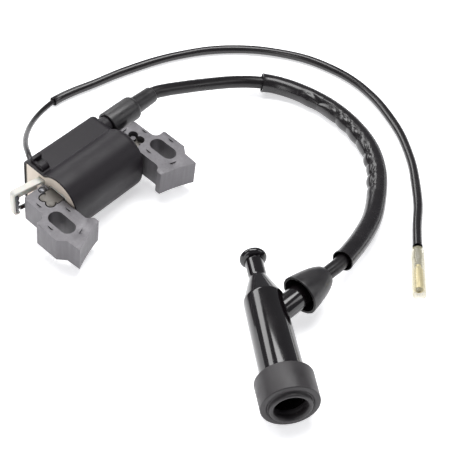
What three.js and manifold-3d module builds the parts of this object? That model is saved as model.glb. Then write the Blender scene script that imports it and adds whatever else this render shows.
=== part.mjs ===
// Ignition coil of a small two-stroke engine: a laminated two-leg core, a potted coil with its igniter,
// a high-tension lead with an angled plug cap, and a stop wire with a bullet connector.
// Millimetres, +Z up. The coil lies on its housing and the two leads lie on the same surface, z = 0.

import * as THREE from "three";
import { mergeVertices } from "three/addons/utils/BufferGeometryUtils.js";
import Module from "manifold-3d";

const wasm = await Module();
wasm.setup();

// ---------------------------------------------------------------- sizes

const GAP = 0.3; // left between pieces that touch
const CUT = 1; // how far a cutting tool runs past the face that it cuts
const SLIVER = 0.006; // edges shorter than this, left by a cut, are closed up
const DEG = Math.PI / 180;

// Coil frame: origin midway between the mounting slots on the stack's top face,
// X along the coil, -Y towards the flywheel, Z through the laminations.
const COIL_TILT = 9 * DEG;

const STACK = 12.8;
const STACK_MID = -STACK / 2;
const SLOT_SPACING = 60;
const SLOT_WIDTH = 6.7;
const SLOT_LENGTH = 13.5;

const LEG_INNER_X = 21.3;
const LEG_OUTER_X = LEG_INNER_X + 11.3;
const LEG_BACK_Y = 20.2;
const LEG_CORNER = 1;
const LEG_FILLET = 3;
const EAR_X = SLOT_SPACING / 2 + 8;
const EAR_BACK_Y = 6.9;
const EAR_FRONT_Y = -5.2;
const EAR_CORNER = 0.8;
const TIP_X = SLOT_SPACING / 2 + 4.6;
const TIP_Y = -15.4;
const TIP_SHOULDER_Y = -8.6;
const POLE_RADIUS = 80.6;
const TOE_X = LEG_INNER_X - 2.8;
const TOE_RADIUS = 1.7;

const DIMPLE_LENGTH = 3.6;
const DIMPLE_FLOOR = 1.4;
const DIMPLE_WIDTH = 1.2;
const DIMPLE_DEPTH = 0.7;

const BAR_Y = 12.6;
const BAR_WIDTH = 8;
const KEY_LOBE_X = LEG_INNER_X + 5;
const KEY_LOBE_RADIUS = 1.9;
const KEY_LOBE_OFFSET = BAR_WIDTH / 4;
const KEY_NECK_X = LEG_INNER_X + 2.7;
const LEFT_KEY_SLACK = 0.5; // wider gap above the left key
const RIGHT_KEY_SINK = 3; // the upper laminations stop short at the right key
const RIVET_RADIUS = 1.2;
const EARTH_PIN_RADIUS = 1.5;
const EARTH_PIN_X = -LEG_INNER_X - 2.7;
const EARTH_PIN_Y = 18.1;
const EARTH_PIN_RISE = 0.5;

// Housing: a section in the YZ plane, run along X and open at its left end.
const BODY_Y = 12.4;
const BODY_RADIUS = 11.8;
const BODY_SPREAD = 0.22 * STACK; // the round ends stand this far above and below the stack's middle
const BOX_TOP_Z = 4.4;
const BOX_BACK_Y = BODY_Y + 20.6;
const BOX_CORNER = 2.2;
const CREASE_RADIUS = 2;
const HOUSING_LEFT_X = GAP - LEG_INNER_X;
const HOUSING_RIGHT_X = LEG_INNER_X - 1.3;
const HOUSING_WALL = 0.9;
const HOUSING_END_WALL = 1.4;
const HOUSING_END_ROUND = 2.6;
const POTTING_INSET = 0.5; // the fill stands this far inside the rim

const NECK_Y = 28;
const NECK_Z = -2.2;
const NECK_WALL = 1;
const NECK_END_X = HOUSING_RIGHT_X + 12;
const LEAD_RADIUS = 2.97;
const WIRE_RADIUS = 0.95;
const LEAD_BORE_CLEARANCE = 0.43;
const LEAD_BORE_RADIUS = LEAD_RADIUS + LEAD_BORE_CLEARANCE;
const NECK_RADIUS = LEAD_BORE_RADIUS + NECK_WALL;
const TERMINAL_RADIUS = 1.1;
const TERMINAL_START_X = 12;

const CLIP_X = [-19.4, -14.4];
const CLIP_Y = [28.6, 30.6];
const CLIP_RISE = 2.4;
const CLIP_GAP = 1.2;
const BOSS_X = [-19.6, -15.6];
const BOSS_Y = 24.7;
const BOSS_RADIUS = 2.2;

const WIRE_EXIT_X = -15.6;
const WIRE_EXIT_Z = -1.3;

const BOBBIN_WALL = 0.9;
const FLANGE_THICK = 1;
const BOBBIN_ROUNDING = 1.3; // the tube's corners are rounder than its wall alone makes them
const BOBBIN_RIGHT_X = HOUSING_RIGHT_X - 2.5;
const FLANGE_LEFT_X = HOUSING_LEFT_X + 3.4;
const SECONDARY_WALL = 0.8;
const PRIMARY_SHARE = 0.6; // of the room left for the two windings

const GUARD_LENGTH = 14.9;
const GUARD_DEPTH = 3.2;
const GUARD_SHEET = 1.2;
const GUARD_TOP_Z = 1;
const GUARD_BOTTOM_Z = -12.8;
const GUARD_LIP = 3.2;
const GUARD_CORNER = 1.8;
const GUARD_BACK_WALL_Z = -5;
const GUARD_ANGLE = 10 * DEG;
const GUARD_ROOT = 2.4;
const LUG_BEAD_RADIUS = 0.95;
const LUG_BEADS_Z = [-3.4, -6.2, -9];
const EARTH_WIRE_RADIUS = 1;
const EARTH_WIRE_Z = -11;

const BOARD_X = [HOUSING_LEFT_X + 3, TERMINAL_START_X - 1];
const BOARD_Y = 29.4;
const BOARD_THICK = 1.2;
const BOARD_Z = [-18.5, 1.2];
const TRANSISTOR_SIZE = [10, 4.4, 12];
const TRANSISTOR_X = 2;
const RESISTOR_RADIUS = 1.3;
const RESISTOR_LENGTH = 7;
const RESISTOR_X = -10;

// Rubber collar over the neck and the lead.
const COLLAR_X = [3.6, 20.3, 32].map((x) => x + HOUSING_RIGHT_X); // mouth, shoulder, end
const COLLAR_WALL = 1.25;
const COLLAR_RADIUS = NECK_RADIUS + COLLAR_WALL;
const COLLAR_SHOULDER = 1.2;
const COLLAR_TAIL_RADIUS = [1.23, 0.78].map((wall) => LEAD_RADIUS + wall);
const COLLAR_EDGE = 0.35;

// Cords, all in the frame that lies on the surface.
const LEAD_SIDES = 10;
const LEAD_STEPS = 52;
const SLEEVE_CLEARANCE = 0.63;
const SLEEVE_WALL = 0.65;
const SLEEVE_INNER_RADIUS = LEAD_RADIUS + SLEEVE_CLEARANCE;
const SLEEVE_OUTER_RADIUS = SLEEVE_INNER_RADIUS + SLEEVE_WALL;
const SLEEVE_RANGE = [0.33, 0.885];
const SLEEVE_STEPS = 28;
const LEAD_START_X = HOUSING_RIGHT_X + 3;
// The lead runs straight through the neck and the collar.
const LEAD_STRAIGHT_X = [LEAD_START_X, NECK_END_X + 6, COLLAR_X[2] + 1];
// Beyond the collar it sinks towards the surface; these points are in the coil's frame and move with it.
const LEAD_NEAR_ROUTE = [
  [59, 26.45, -3.13],
  [69, 23.51, -5.71],
  [81, 19.66, -8.94],
];
const LEAD_ROUTE = [
  [93, 6.3, 9.6],
  [102, 1, 7.1],
  [109, -6.3, 5.4],
  [113, -17, 4.6],
  [114.2, -30, 4.4],
  [113, -43, 4.4],
  [109.3, -56, 4.4],
  [102.8, -69, 4.4],
  [93, -80.3, 4.4],
  [80.5, -89.5, 4.5],
  [67, -97, 5.5],
  [53.5, -101.6, 7.5],
  [42, -104.3, 9.5],
  [32, -105.7, 11],
  [23, -105.27, 11.35],
  [13, -104.7, 11.35],
  [3.5, -104.16, 11.35],
];

const WIRE_SIDES = 8;
const WIRE_STEPS = 78;
const WIRE_SLEEVE_CLEARANCE = 0.45;
const WIRE_SLEEVE_WALL = 0.6;
const WIRE_SLEEVE_INNER_RADIUS = WIRE_RADIUS + WIRE_SLEEVE_CLEARANCE;
const WIRE_SLEEVE_OUTER_RADIUS = WIRE_SLEEVE_INNER_RADIUS + WIRE_SLEEVE_WALL;
const WIRE_SLEEVE_RANGE = [0.212, 0.985];
const WIRE_SLEEVE_STEPS = 60;
// The wire leaves straight back through the housing; after that its route is free.
const WIRE_STRAIGHT_Y = [BOX_BACK_Y - 4.84, BOX_BACK_Y];
const WIRE_ROUTE = [
  [-14.7, 25.8, 22.9],
  [-12.4, 29.7, 21.9],
  [-8.6, 35.8, 19.4],
  [-3.8, 42.1, 16.4],
  [2, 48.5, 12.8],
  [9, 55, 9],
  [17, 60.8, 5.6],
  [25.5, 65, 3.2],
  [34, 66.9, 2.2],
  [43.5, 65.6, 2.1],
  [56, 62.2, 2.1],
  [72.5, 57.8, 2.1],
  [86, 53, 2.1],
  [98.5, 47, 2.1],
  [110, 39.4, 2.1],
  [120.3, 30, 2.1],
  [128.6, 19, 2.1],
  [135, 6.8, 2.1],
  [139.2, -6.5, 2.1],
  [140.7, -21, 2.1],
  [139.4, -35.5, 2.1],
  [135.4, -48.5, 2.1],
  [129.3, -61.5, 2.1],
  [121.5, -74, 2.1],
  [111.5, -86, 2.1],
  [99.5, -97.2, 2.1],
  [88.5, -106, 2.2],
  [77.5, -113.2, 2.6],
  [70.5, -118.05, 2.86],
  [63.2, -123.45, 2.86],
];

// Bullet connector at the stop wire's end, on its own axis from the wire's end.
const CONNECTOR_ORIGIN = [63.2, -123.45, 2.86];
const CONNECTOR_ANGLE = -143.5 * DEG;
const BULLET_BORE_RADIUS = 1.6;
const BULLET_WALL = 0.4;
const BULLET_RADIUS = BULLET_BORE_RADIUS + BULLET_WALL;
const CRIMP_WALL = 0.35;
const BULLET_CRIMP_RADIUS = WIRE_RADIUS + CRIMP_WALL;
const BULLET_CRIMP_X = [0.3, 6.6];
const BULLET_BARREL_X = [7.6, 18.6];
const BULLET_FLOOR = 1;
const CLEAR_SLEEVE_X = [-3.4, 21.6];
const CLEAR_SLEEVE_CLEARANCE = 0.35;
const CLEAR_SLEEVE_WALL = 0.51;
const CLEAR_SLEEVE_INNER = Math.max(BULLET_RADIUS, WIRE_SLEEVE_OUTER_RADIUS) + CLEAR_SLEEVE_CLEARANCE;
const CLEAR_SLEEVE_RADIUS = [CLEAR_SLEEVE_INNER, CLEAR_SLEEVE_INNER + CLEAR_SLEEVE_WALL];

// Plug cap, on its own axis from the plug's mouth to the knob.
const CAP_ORIGIN = [-36.15, -136.5, 11.35];
const CAP_ANGLE = 51.02 * DEG;
const BRANCH_X = 42.54; // where the lead's axis meets the cap's
const BRANCH_ANGLE = -54.28 * DEG;
const CAP_BODY_START_X = 5;
const CAP_BODY_END_X = 53;
const CAP_NECK_X = 64.4;
const CAP_NECK_RADIUS = 3.8;
const KNOB_X = 75.6;
const KNOB_RADIUS = 5.6;
const KNOB_HALF_LENGTH = 1.9;
const PLUG_BORE_RADIUS = 6.3;
const CAP_MOUTH_WALL = 2.3;
const CAP_MOUTH_RADIUS = PLUG_BORE_RADIUS + CAP_MOUTH_WALL;
const CAP_SHOULDER_RADIUS = CAP_MOUTH_RADIUS - 0.4;
const PLUG_BORE_END_X = 21;
const CORE_BORE_RADIUS = 3.9;
const CORE_BORE_END_X = BRANCH_X + CORE_BORE_RADIUS;

const BRANCH_WALL = 1.6;
const BRANCH_RADIUS = LEAD_BORE_RADIUS + BRANCH_WALL;
const BRANCH_END = 27;

const SEAL_WALL = 2.7;
const SEAL_RADIUS = CAP_MOUTH_RADIUS + SEAL_WALL;
const SEAL_END_X = 13.4;
const SEAL_FACE_X = 1.4;
const SEAL_LIP_WALL = 1.8;
const SEAL_LIP_RADIUS = PLUG_BORE_RADIUS + SEAL_LIP_WALL;
const SEAL_EDGE = 0.5;

const SOCKET_X = [18.6, 26.6];
const SOCKET_CLEARANCE = 0.4;
const SOCKET_RADIUS = CORE_BORE_RADIUS - SOCKET_CLEARANCE;
const SOCKET_BORE_RADIUS = 2.1;
const SOCKET_FLOOR = 1.2;
const SNAP_RING_X = SOCKET_X[0] + 1.1;
const SNAP_RING_WIRE = 0.35;
const SNAP_RING_GAP = 70 * DEG;
const SUPPRESSOR_LENGTH = 8;
const SUPPRESSOR_RADIUS = 2.9;
const SPRING_RADIUS = 2.4;
const SPRING_WIRE = 0.32;
const SPRING_TURNS = 3.5;
const SPRING_LENGTH = 4.4;
const CONTACT_LENGTH = 4.6;
const CONTACT_CLEARANCE = 0.5;
const CONTACT_RADIUS = CORE_BORE_RADIUS - CONTACT_CLEARANCE;
const LEAD_SCREW_RADIUS = 1.2;
const LEAD_SCREW_TIP = 12.6;

const CAP_BOOT_RANGE = [17.6, 32.6];
const CAP_BOOT_MOUTH_RADIUS = 8.3;
const CAP_BOOT_GRIP = 1.33;
const CAP_BOOT_END_RADIUS = LEAD_RADIUS + CAP_BOOT_GRIP;
const CAP_BOOT_WALL = 1.3;
const CAP_BOOT_NOSE = 3.6; // length of the part that grips the lead

// ---------------------------------------------------------------- helpers

const finish = {
  housing: { color: 0x423e42, roughness: 0.62, metalness: 0 },
  resin: { color: 0xeae2d8, roughness: 0.6, metalness: 0 },
  nylon: { color: 0xf4f3ef, roughness: 0.5, metalness: 0 },
  copper: { color: 0xb4642c, roughness: 0.4, metalness: 1 },
  steel: { color: 0x8c8c8e, roughness: 0.45, metalness: 0.9 },
  brownSteel: { color: 0x7b7068, roughness: 0.55, metalness: 0.7 },
  tin: { color: 0xb9b9b6, roughness: 0.35, metalness: 0.9 },
  brass: { color: 0xc9a95c, roughness: 0.35, metalness: 0.9 },
  board: { color: 0x2f5d3a, roughness: 0.55, metalness: 0 },
  epoxyBlack: { color: 0x222224, roughness: 0.5, metalness: 0 },
  rubber: { color: 0x35343a, roughness: 0.7, metalness: 0 },
  bakelite: { color: 0x141214, roughness: 0.12, metalness: 0 },
  cable: { color: 0x1f1d20, roughness: 0.45, metalness: 0 },
  sleeve: { color: 0x161417, roughness: 0.2, metalness: 0 },
  clear: { color: 0xf2efe6, roughness: 0.15, metalness: 0 },
  ceramic: { color: 0xd8cfbf, roughness: 0.6, metalness: 0 },
};

function solid(geometry) {
  const bare = geometry.index ? geometry.toNonIndexed() : geometry.clone();
  bare.deleteAttribute("normal");
  bare.deleteAttribute("uv");
  const merged = mergeVertices(bare, 1e-4);
  return new wasm.Manifold(
    new wasm.Mesh({
      numProp: 3,
      vertProperties: new Float32Array(merged.attributes.position.array),
      triVerts: new Uint32Array(merged.index.array),
    }),
  );
}

function geometryOf(manifold) {
  const mesh = manifold.asOriginal().simplify(SLIVER).getMesh();
  const geometry = new THREE.BufferGeometry();
  geometry.setAttribute("position", new THREE.BufferAttribute(mesh.vertProperties, 3));
  geometry.setIndex(new THREE.BufferAttribute(mesh.triVerts, 1));
  return geometry;
}

function join(first, ...others) {
  return others.reduce((body, other) => body.add(solid(other)), solid(first));
}

function cut(body, ...tools) {
  return tools.reduce((rest, tool) => rest.subtract(solid(tool)), body);
}

function mesh(name, shape, look) {
  const geometry = shape instanceof THREE.BufferGeometry ? shape : geometryOf(shape);
  geometry.computeVertexNormals();
  const made = new THREE.Mesh(geometry, new THREE.MeshStandardMaterial(finish[look]));
  made.name = name;
  return made;
}

// Turns a shape drawn in (y, z) into a prism that runs along X.
function prismX(shape, fromX, toX, options = {}) {
  const geometry = new THREE.ExtrudeGeometry(shape, {
    depth: toX - fromX,
    bevelEnabled: false,
    curveSegments: 8,
    ...options,
  });
  const turn = new THREE.Matrix4().makeBasis(
    new THREE.Vector3(0, 1, 0),
    new THREE.Vector3(0, 0, 1),
    new THREE.Vector3(1, 0, 0),
  );
  return geometry.applyMatrix4(turn).translate(fromX, 0, 0);
}

function prismZ(shape, fromZ, toZ, curveSegments = 6) {
  const options = { depth: toZ - fromZ, bevelEnabled: false, curveSegments };
  return new THREE.ExtrudeGeometry(shape, options).translate(0, 0, fromZ);
}

// Revolves a closed profile of [x, radius] points round a line along X.
function turnedX(profile, segments = 24, y = 0, z = 0) {
  const closed = profile[0][1] === 0 ? profile : [...profile, profile[0]];
  const points = closed.map(([x, radius]) => new THREE.Vector2(radius, x));
  const turn = new THREE.Matrix4().makeBasis(
    new THREE.Vector3(0, 0, 1),
    new THREE.Vector3(1, 0, 0),
    new THREE.Vector3(0, 1, 0),
  );
  return new THREE.LatheGeometry(points, segments).applyMatrix4(turn).translate(0, y, z);
}

function rodX(radius, fromX, toX, segments = 16, y = 0, z = 0) {
  const profile = [
    [fromX, 0],
    [fromX, radius],
    [toX, radius],
    [toX, 0],
  ];
  return turnedX(profile, segments, y, z);
}

function rodZ(radius, fromZ, toZ, x, y, segments = 16) {
  const rod = new THREE.CylinderGeometry(radius, radius, toZ - fromZ, segments);
  return rod.rotateX(Math.PI / 2).translate(x, y, (fromZ + toZ) / 2);
}

function block([x0, x1], [y0, y1], [z0, z1]) {
  const box = new THREE.BoxGeometry(x1 - x0, y1 - y0, z1 - z0);
  return box.translate((x0 + x1) / 2, (y0 + y1) / 2, (z0 + z1) / 2);
}

function roundedRect(midU, midV, halfU, halfV, radius) {
  const shape = new THREE.Shape();
  const [left, right] = [midU - halfU, midU + halfU];
  const [low, high] = [midV - halfV, midV + halfV];
  shape.moveTo(left + radius, low);
  shape.absarc(right - radius, low + radius, radius, -Math.PI / 2, 0);
  shape.absarc(right - radius, high - radius, radius, 0, Math.PI / 2);
  shape.absarc(left + radius, high - radius, radius, Math.PI / 2, Math.PI);
  shape.absarc(left + radius, low + radius, radius, Math.PI, 1.5 * Math.PI);
  shape.closePath();
  return shape;
}

function polygon(radius, sides) {
  const points = Array.from({ length: sides }, (_, i) => {
    const angle = (2 * Math.PI * (i + 0.5)) / sides;
    return new THREE.Vector2(radius * Math.cos(angle), radius * Math.sin(angle));
  });
  return points;
}

// The stretch of a curve between two shares of its length.
class Stretch extends THREE.Curve {
  constructor(whole, [from, to]) {
    super();
    this.whole = whole;
    this.from = from;
    this.to = to;
  }

  getPoint(t, target) {
    return this.whole.getPointAt(this.from + (this.to - this.from) * t, target);
  }
}

function curveThrough(points) {
  return new THREE.CatmullRomCurve3(points.map((p) => new THREE.Vector3(...p)));
}

function tube(curve, steps, outerRadius, sides, innerRadius = 0) {
  const section = new THREE.Shape(polygon(outerRadius, sides));
  if (innerRadius > 0) section.holes.push(new THREE.Path(polygon(innerRadius, sides).reverse()));
  return new THREE.ExtrudeGeometry(section, { steps, extrudePath: curve, bevelEnabled: false });
}

// ---------------------------------------------------------------- core

function keyTools(side, slack, fromZ, toZ) {
  const lobeRadius = KEY_LOBE_RADIUS + slack;
  const lobes = [-KEY_LOBE_OFFSET, KEY_LOBE_OFFSET].map((offset) =>
    rodZ(lobeRadius, fromZ, toZ, side * KEY_LOBE_X, BAR_Y + offset, 20),
  );
  const webX = [side * KEY_NECK_X, side * (KEY_LOBE_X + KEY_LOBE_RADIUS / 2)].sort((a, b) => a - b);
  const halfWeb = KEY_LOBE_OFFSET + KEY_LOBE_RADIUS / 2 + slack;
  return [...lobes, block(webX, [BAR_Y - halfWeb, BAR_Y + halfWeb], [fromZ, toZ])];
}

function centreCore() {
  const half = BAR_WIDTH / 2;
  const bar = block([-KEY_NECK_X - GAP, KEY_NECK_X + GAP], [BAR_Y - half, BAR_Y + half], [-STACK, 0]);
  const keys = [-1, 1].flatMap((side) => keyTools(side, 0, -STACK, 0));
  const sunk = block(
    [LEG_INNER_X + GAP, EAR_X],
    [BAR_Y - BAR_WIDTH, BAR_Y + BAR_WIDTH],
    [-RIGHT_KEY_SINK, CUT],
  );
  const rivetHole = rodZ(RIVET_RADIUS + GAP, -STACK - CUT, CUT, KEY_LOBE_X, BAR_Y + KEY_LOBE_OFFSET);
  return cut(join(bar, ...keys), sunk, rivetHole);
}

function legOutline() {
  const shape = new THREE.Shape();
  const poleCentreY = TIP_Y - Math.sqrt(POLE_RADIUS ** 2 - TIP_X ** 2);
  const toeY = poleCentreY + Math.sqrt(POLE_RADIUS ** 2 - TOE_X ** 2);
  const tipAngle = Math.atan2(TIP_Y - poleCentreY, TIP_X);
  const toeAngle = Math.atan2(toeY - poleCentreY, TOE_X);
  const filletX = LEG_OUTER_X + LEG_FILLET;
  shape.moveTo(LEG_INNER_X, LEG_BACK_Y);
  shape.lineTo(LEG_INNER_X, toeY + 3 * TOE_RADIUS);
  shape.lineTo(TOE_X + TOE_RADIUS, toeY + 2 * TOE_RADIUS);
  shape.absarc(TOE_X + TOE_RADIUS, toeY + TOE_RADIUS, TOE_RADIUS, Math.PI / 2, Math.PI);
  shape.absarc(0, poleCentreY, POLE_RADIUS, toeAngle, tipAngle, true);
  shape.lineTo(TIP_X + LEG_CORNER / 2, TIP_SHOULDER_Y);
  shape.lineTo(EAR_X, EAR_FRONT_Y);
  shape.absarc(EAR_X - EAR_CORNER, EAR_BACK_Y - EAR_CORNER, EAR_CORNER, 0, Math.PI / 2);
  shape.lineTo(filletX, EAR_BACK_Y);
  shape.absarc(filletX, EAR_BACK_Y + LEG_FILLET, LEG_FILLET, -Math.PI / 2, Math.PI, true);
  shape.absarc(LEG_OUTER_X - LEG_CORNER, LEG_BACK_Y - LEG_CORNER, LEG_CORNER, 0, Math.PI / 2);
  shape.closePath();
  return shape;
}

// A pressed interlock dimple: a boat-shaped dent in the top lamination.
function dimple(x, y, turn) {
  const shape = new THREE.Shape();
  shape.moveTo(-DIMPLE_LENGTH / 2, CUT);
  shape.lineTo(-DIMPLE_LENGTH / 2, 0);
  shape.lineTo(-DIMPLE_FLOOR / 2, -DIMPLE_DEPTH);
  shape.lineTo(DIMPLE_FLOOR / 2, -DIMPLE_DEPTH);
  shape.lineTo(DIMPLE_LENGTH / 2, 0);
  shape.lineTo(DIMPLE_LENGTH / 2, CUT);
  shape.closePath();
  const dent = new THREE.ExtrudeGeometry(shape, { depth: DIMPLE_WIDTH, bevelEnabled: false });
  return dent
    .translate(0, 0, -DIMPLE_WIDTH / 2)
    .rotateX(Math.PI / 2)
    .rotateZ(turn)
    .translate(x, y, 0);
}

const DIMPLES = [
  [31.1, 13.1, Math.PI / 2],
  [23.9, 3.4, Math.PI / 2],
  [35.8, 1.2, Math.PI / 2],
  [27.3, -8.9, -20 * DEG],
];
const RIGHT_LEG_DIMPLE = [25.4, 18.7, 0];

function leg(side) {
  const outline = prismZ(legOutline(), -STACK, 0, 10);
  const slot = prismZ(
    roundedRect(SLOT_SPACING / 2, 0, SLOT_WIDTH / 2, SLOT_LENGTH / 2, SLOT_WIDTH / 2 - 0.01),
    -STACK - CUT,
    CUT,
  );
  const bar = BAR_WIDTH / 2 + GAP;
  const mouth = block(
    [LEG_INNER_X - CUT, KEY_NECK_X + 2 * GAP],
    [BAR_Y - bar, BAR_Y + bar],
    [-STACK - CUT, CUT],
  );
  const pocket = keyTools(1, side < 0 ? LEFT_KEY_SLACK : GAP, -STACK - CUT, CUT);
  const dents = DIMPLES.map((place) => dimple(...place));
  if (side > 0) dents.push(dimple(...RIGHT_LEG_DIMPLE));
  const made = cut(solid(outline), slot, mouth, ...pocket, ...dents);
  if (side > 0) return made;
  const hole = rodZ(EARTH_PIN_RADIUS + GAP, -STACK - CUT, CUT, EARTH_PIN_X, EARTH_PIN_Y);
  return cut(made.mirror([1, 0, 0]), hole);
}

function earthPin() {
  const profile = [
    [-STACK + GAP, 0],
    [-STACK + GAP, EARTH_PIN_RADIUS],
    [0, EARTH_PIN_RADIUS],
    [EARTH_PIN_RISE * 0.7, EARTH_PIN_RADIUS * 0.7],
    [EARTH_PIN_RISE, 0],
  ];
  return turnedX(profile).rotateY(-Math.PI / 2).translate(EARTH_PIN_X, EARTH_PIN_Y, 0);
}

function coreRivet() {
  return rodZ(
    RIVET_RADIUS,
    -STACK + GAP,
    -RIGHT_KEY_SINK + CUT,
    KEY_LOBE_X,
    BAR_Y + KEY_LOBE_OFFSET,
  );
}

// ---------------------------------------------------------------- housing and fill

function housingSection(inset) {
  const radius = BODY_RADIUS - inset;
  const corner = Math.max(BOX_CORNER - inset, HOUSING_WALL / 2);
  const crease = CREASE_RADIUS + inset;
  const top = BOX_TOP_Z - inset;
  const back = BOX_BACK_Y - inset;
  const highMid = STACK_MID + BODY_SPREAD;
  const lowMid = STACK_MID - BODY_SPREAD;
  const bottom = lowMid - radius;
  const rise = top + crease - highMid;
  const reach = Math.sqrt((radius + crease) ** 2 - rise ** 2);
  const angle = Math.atan2(rise, reach);
  const shape = new THREE.Shape();
  shape.moveTo(BODY_Y, bottom);
  shape.absarc(back - corner, bottom + corner, corner, -Math.PI / 2, 0);
  shape.absarc(back - corner, top - corner, corner, 0, Math.PI / 2);
  shape.absarc(BODY_Y + reach, top + crease, crease, -Math.PI / 2, angle - Math.PI, true);
  shape.absarc(BODY_Y, highMid, radius, angle, Math.PI);
  shape.absarc(BODY_Y, lowMid, radius, Math.PI, 1.5 * Math.PI);
  shape.closePath();
  return shape;
}

const BOX_SURFACE_Z = BOX_TOP_Z;
const CORE_WINDOW_Y = [BAR_Y - BAR_WIDTH / 2 - GAP, BAR_Y + BAR_WIDTH / 2 + GAP];

function wireTunnel(radius, fromY, toY) {
  return new THREE.CylinderGeometry(radius, radius, toY - fromY, 12).translate(
    WIRE_EXIT_X,
    (fromY + toY) / 2,
    WIRE_EXIT_Z,
  );
}

function wireClip() {
  const [x0, x1] = CLIP_X;
  const top = BOX_SURFACE_Z + CLIP_RISE;
  const bar = block([x0, x1], CLIP_Y, [BOX_SURFACE_Z - CUT, top]);
  const step = block([x0, x0 + CLIP_GAP], [CLIP_Y[0] - CLIP_GAP, CLIP_Y[1]], [BOX_SURFACE_Z - CUT, top - CLIP_GAP]);
  const boss = rodX(BOSS_RADIUS, ...BOSS_X, 20, BOSS_Y, BOX_SURFACE_Z);
  return [bar, step, boss];
}

function housing() {
  const outer = prismX(
    housingSection(HOUSING_END_ROUND),
    HOUSING_LEFT_X - HOUSING_END_ROUND,
    HOUSING_RIGHT_X - HOUSING_END_ROUND,
    { bevelEnabled: true, bevelThickness: HOUSING_END_ROUND, bevelSize: HOUSING_END_ROUND, bevelSegments: 4 },
  );
  const trim = block(
    [HOUSING_LEFT_X - 3 * HOUSING_END_ROUND, HOUSING_LEFT_X],
    [-BOX_BACK_Y, 2 * BOX_BACK_Y],
    [-BOX_BACK_Y, BOX_BACK_Y],
  );
  const neck = rodX(NECK_RADIUS, HOUSING_RIGHT_X - HOUSING_END_ROUND, NECK_END_X, 24, NECK_Y, NECK_Z);
  const shell = join(outer, neck, ...wireClip());
  const cavity = prismX(
    housingSection(HOUSING_WALL),
    HOUSING_LEFT_X - CUT,
    HOUSING_RIGHT_X - HOUSING_END_WALL,
  );
  const coreWindow = block([0, HOUSING_RIGHT_X + CUT], CORE_WINDOW_Y, [-STACK - GAP, GAP]);
  const leadBore = rodX(LEAD_BORE_RADIUS, HOUSING_RIGHT_X + CUT, NECK_END_X + CUT, 20, NECK_Y, NECK_Z);
  const terminalHole = rodX(TERMINAL_RADIUS + GAP, 0, NECK_END_X, 12, NECK_Y, NECK_Z);
  const wireHole = wireTunnel(WIRE_RADIUS + GAP, BOX_BACK_Y - 3 * HOUSING_WALL, BOX_BACK_Y + CUT);
  return cut(shell, trim, cavity, coreWindow, leadBore, terminalHole, wireHole);
}

// ---------------------------------------------------------------- windings

// Margins outwards from the core bar, and the room that the body leaves at the windings' corners.
const TUBE_OUTER = GAP + BOBBIN_WALL;
const TUBE_CORNER = TUBE_OUTER + BOBBIN_ROUNDING;
const CORNER_REACH = (BAR_WIDTH / 2 + STACK / 2 + 2 * (TUBE_OUTER - TUBE_CORNER)) * Math.SQRT1_2;
const BODY_REACH = BODY_SPREAD * Math.SQRT1_2 + BODY_RADIUS - HOUSING_WALL - 3 * GAP;
const WINDING_ROOM = BODY_REACH - CORNER_REACH - TUBE_CORNER - SECONDARY_WALL - 3 * GAP;
const PRIMARY_INNER = TUBE_OUTER + GAP;
const PRIMARY_OUTER = PRIMARY_INNER + PRIMARY_SHARE * WINDING_ROOM;
const SECONDARY_INNER = PRIMARY_OUTER + GAP;
const SECONDARY_TUBE = SECONDARY_INNER + SECONDARY_WALL;
const SECONDARY_COIL = SECONDARY_TUBE + GAP;
const SECONDARY_OUTER = SECONDARY_COIL + (1 - PRIMARY_SHARE) * WINDING_ROOM;

// A rounded rectangle in (y, z) that stands clear of the core bar by the given margin.
function roundCore(margin) {
  const radius = margin < TUBE_OUTER ? margin : margin + BOBBIN_ROUNDING;
  return roundedRect(BAR_Y, STACK_MID, BAR_WIDTH / 2 + margin, STACK / 2 + margin, radius);
}

function windingRing(inner, outer, fromX, toX) {
  const shape = roundCore(outer);
  shape.holes.push(new THREE.Path(roundCore(inner).getPoints(4).reverse()));
  return prismX(shape, fromX, toX, { curveSegments: 4 });
}

const PRIMARY_LEFT_X = FLANGE_LEFT_X + FLANGE_THICK + GAP;
const PRIMARY_RIGHT_X = BOBBIN_RIGHT_X - FLANGE_THICK - GAP;
const SECONDARY_LEFT_X = PRIMARY_LEFT_X;
const SECONDARY_RIGHT_X = PRIMARY_RIGHT_X;

function primaryBobbin() {
  const tubeX = [HOUSING_LEFT_X + POTTING_INSET, BOBBIN_RIGHT_X];
  const body = solid(windingRing(GAP, TUBE_OUTER, ...tubeX));
  const flanges = [FLANGE_LEFT_X, BOBBIN_RIGHT_X - FLANGE_THICK].map((x) =>
    solid(windingRing(GAP, SECONDARY_TUBE, x, x + FLANGE_THICK)),
  );
  return flanges.reduce((whole, flange) => whole.add(flange), body);
}

function secondaryBobbin() {
  const body = solid(windingRing(SECONDARY_INNER, SECONDARY_TUBE, SECONDARY_LEFT_X, SECONDARY_RIGHT_X));
  const ribs = [SECONDARY_LEFT_X, SECONDARY_RIGHT_X - FLANGE_THICK].map((x) =>
    solid(windingRing(SECONDARY_INNER, SECONDARY_OUTER, x, x + FLANGE_THICK)),
  );
  return ribs.reduce((whole, rib) => whole.add(rib), body);
}

function boardSpace(grow) {
  const [x0, x1] = BOARD_X;
  const [z0, z1] = BOARD_Z;
  const front = BOARD_Y - BOARD_THICK / 2 - GAP - TRANSISTOR_SIZE[1];
  return block(
    [x0 - grow, x1 + grow],
    [front - grow, BOARD_Y + BOARD_THICK / 2 + grow],
    [z0 - grow, z1 + grow],
  );
}

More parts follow.
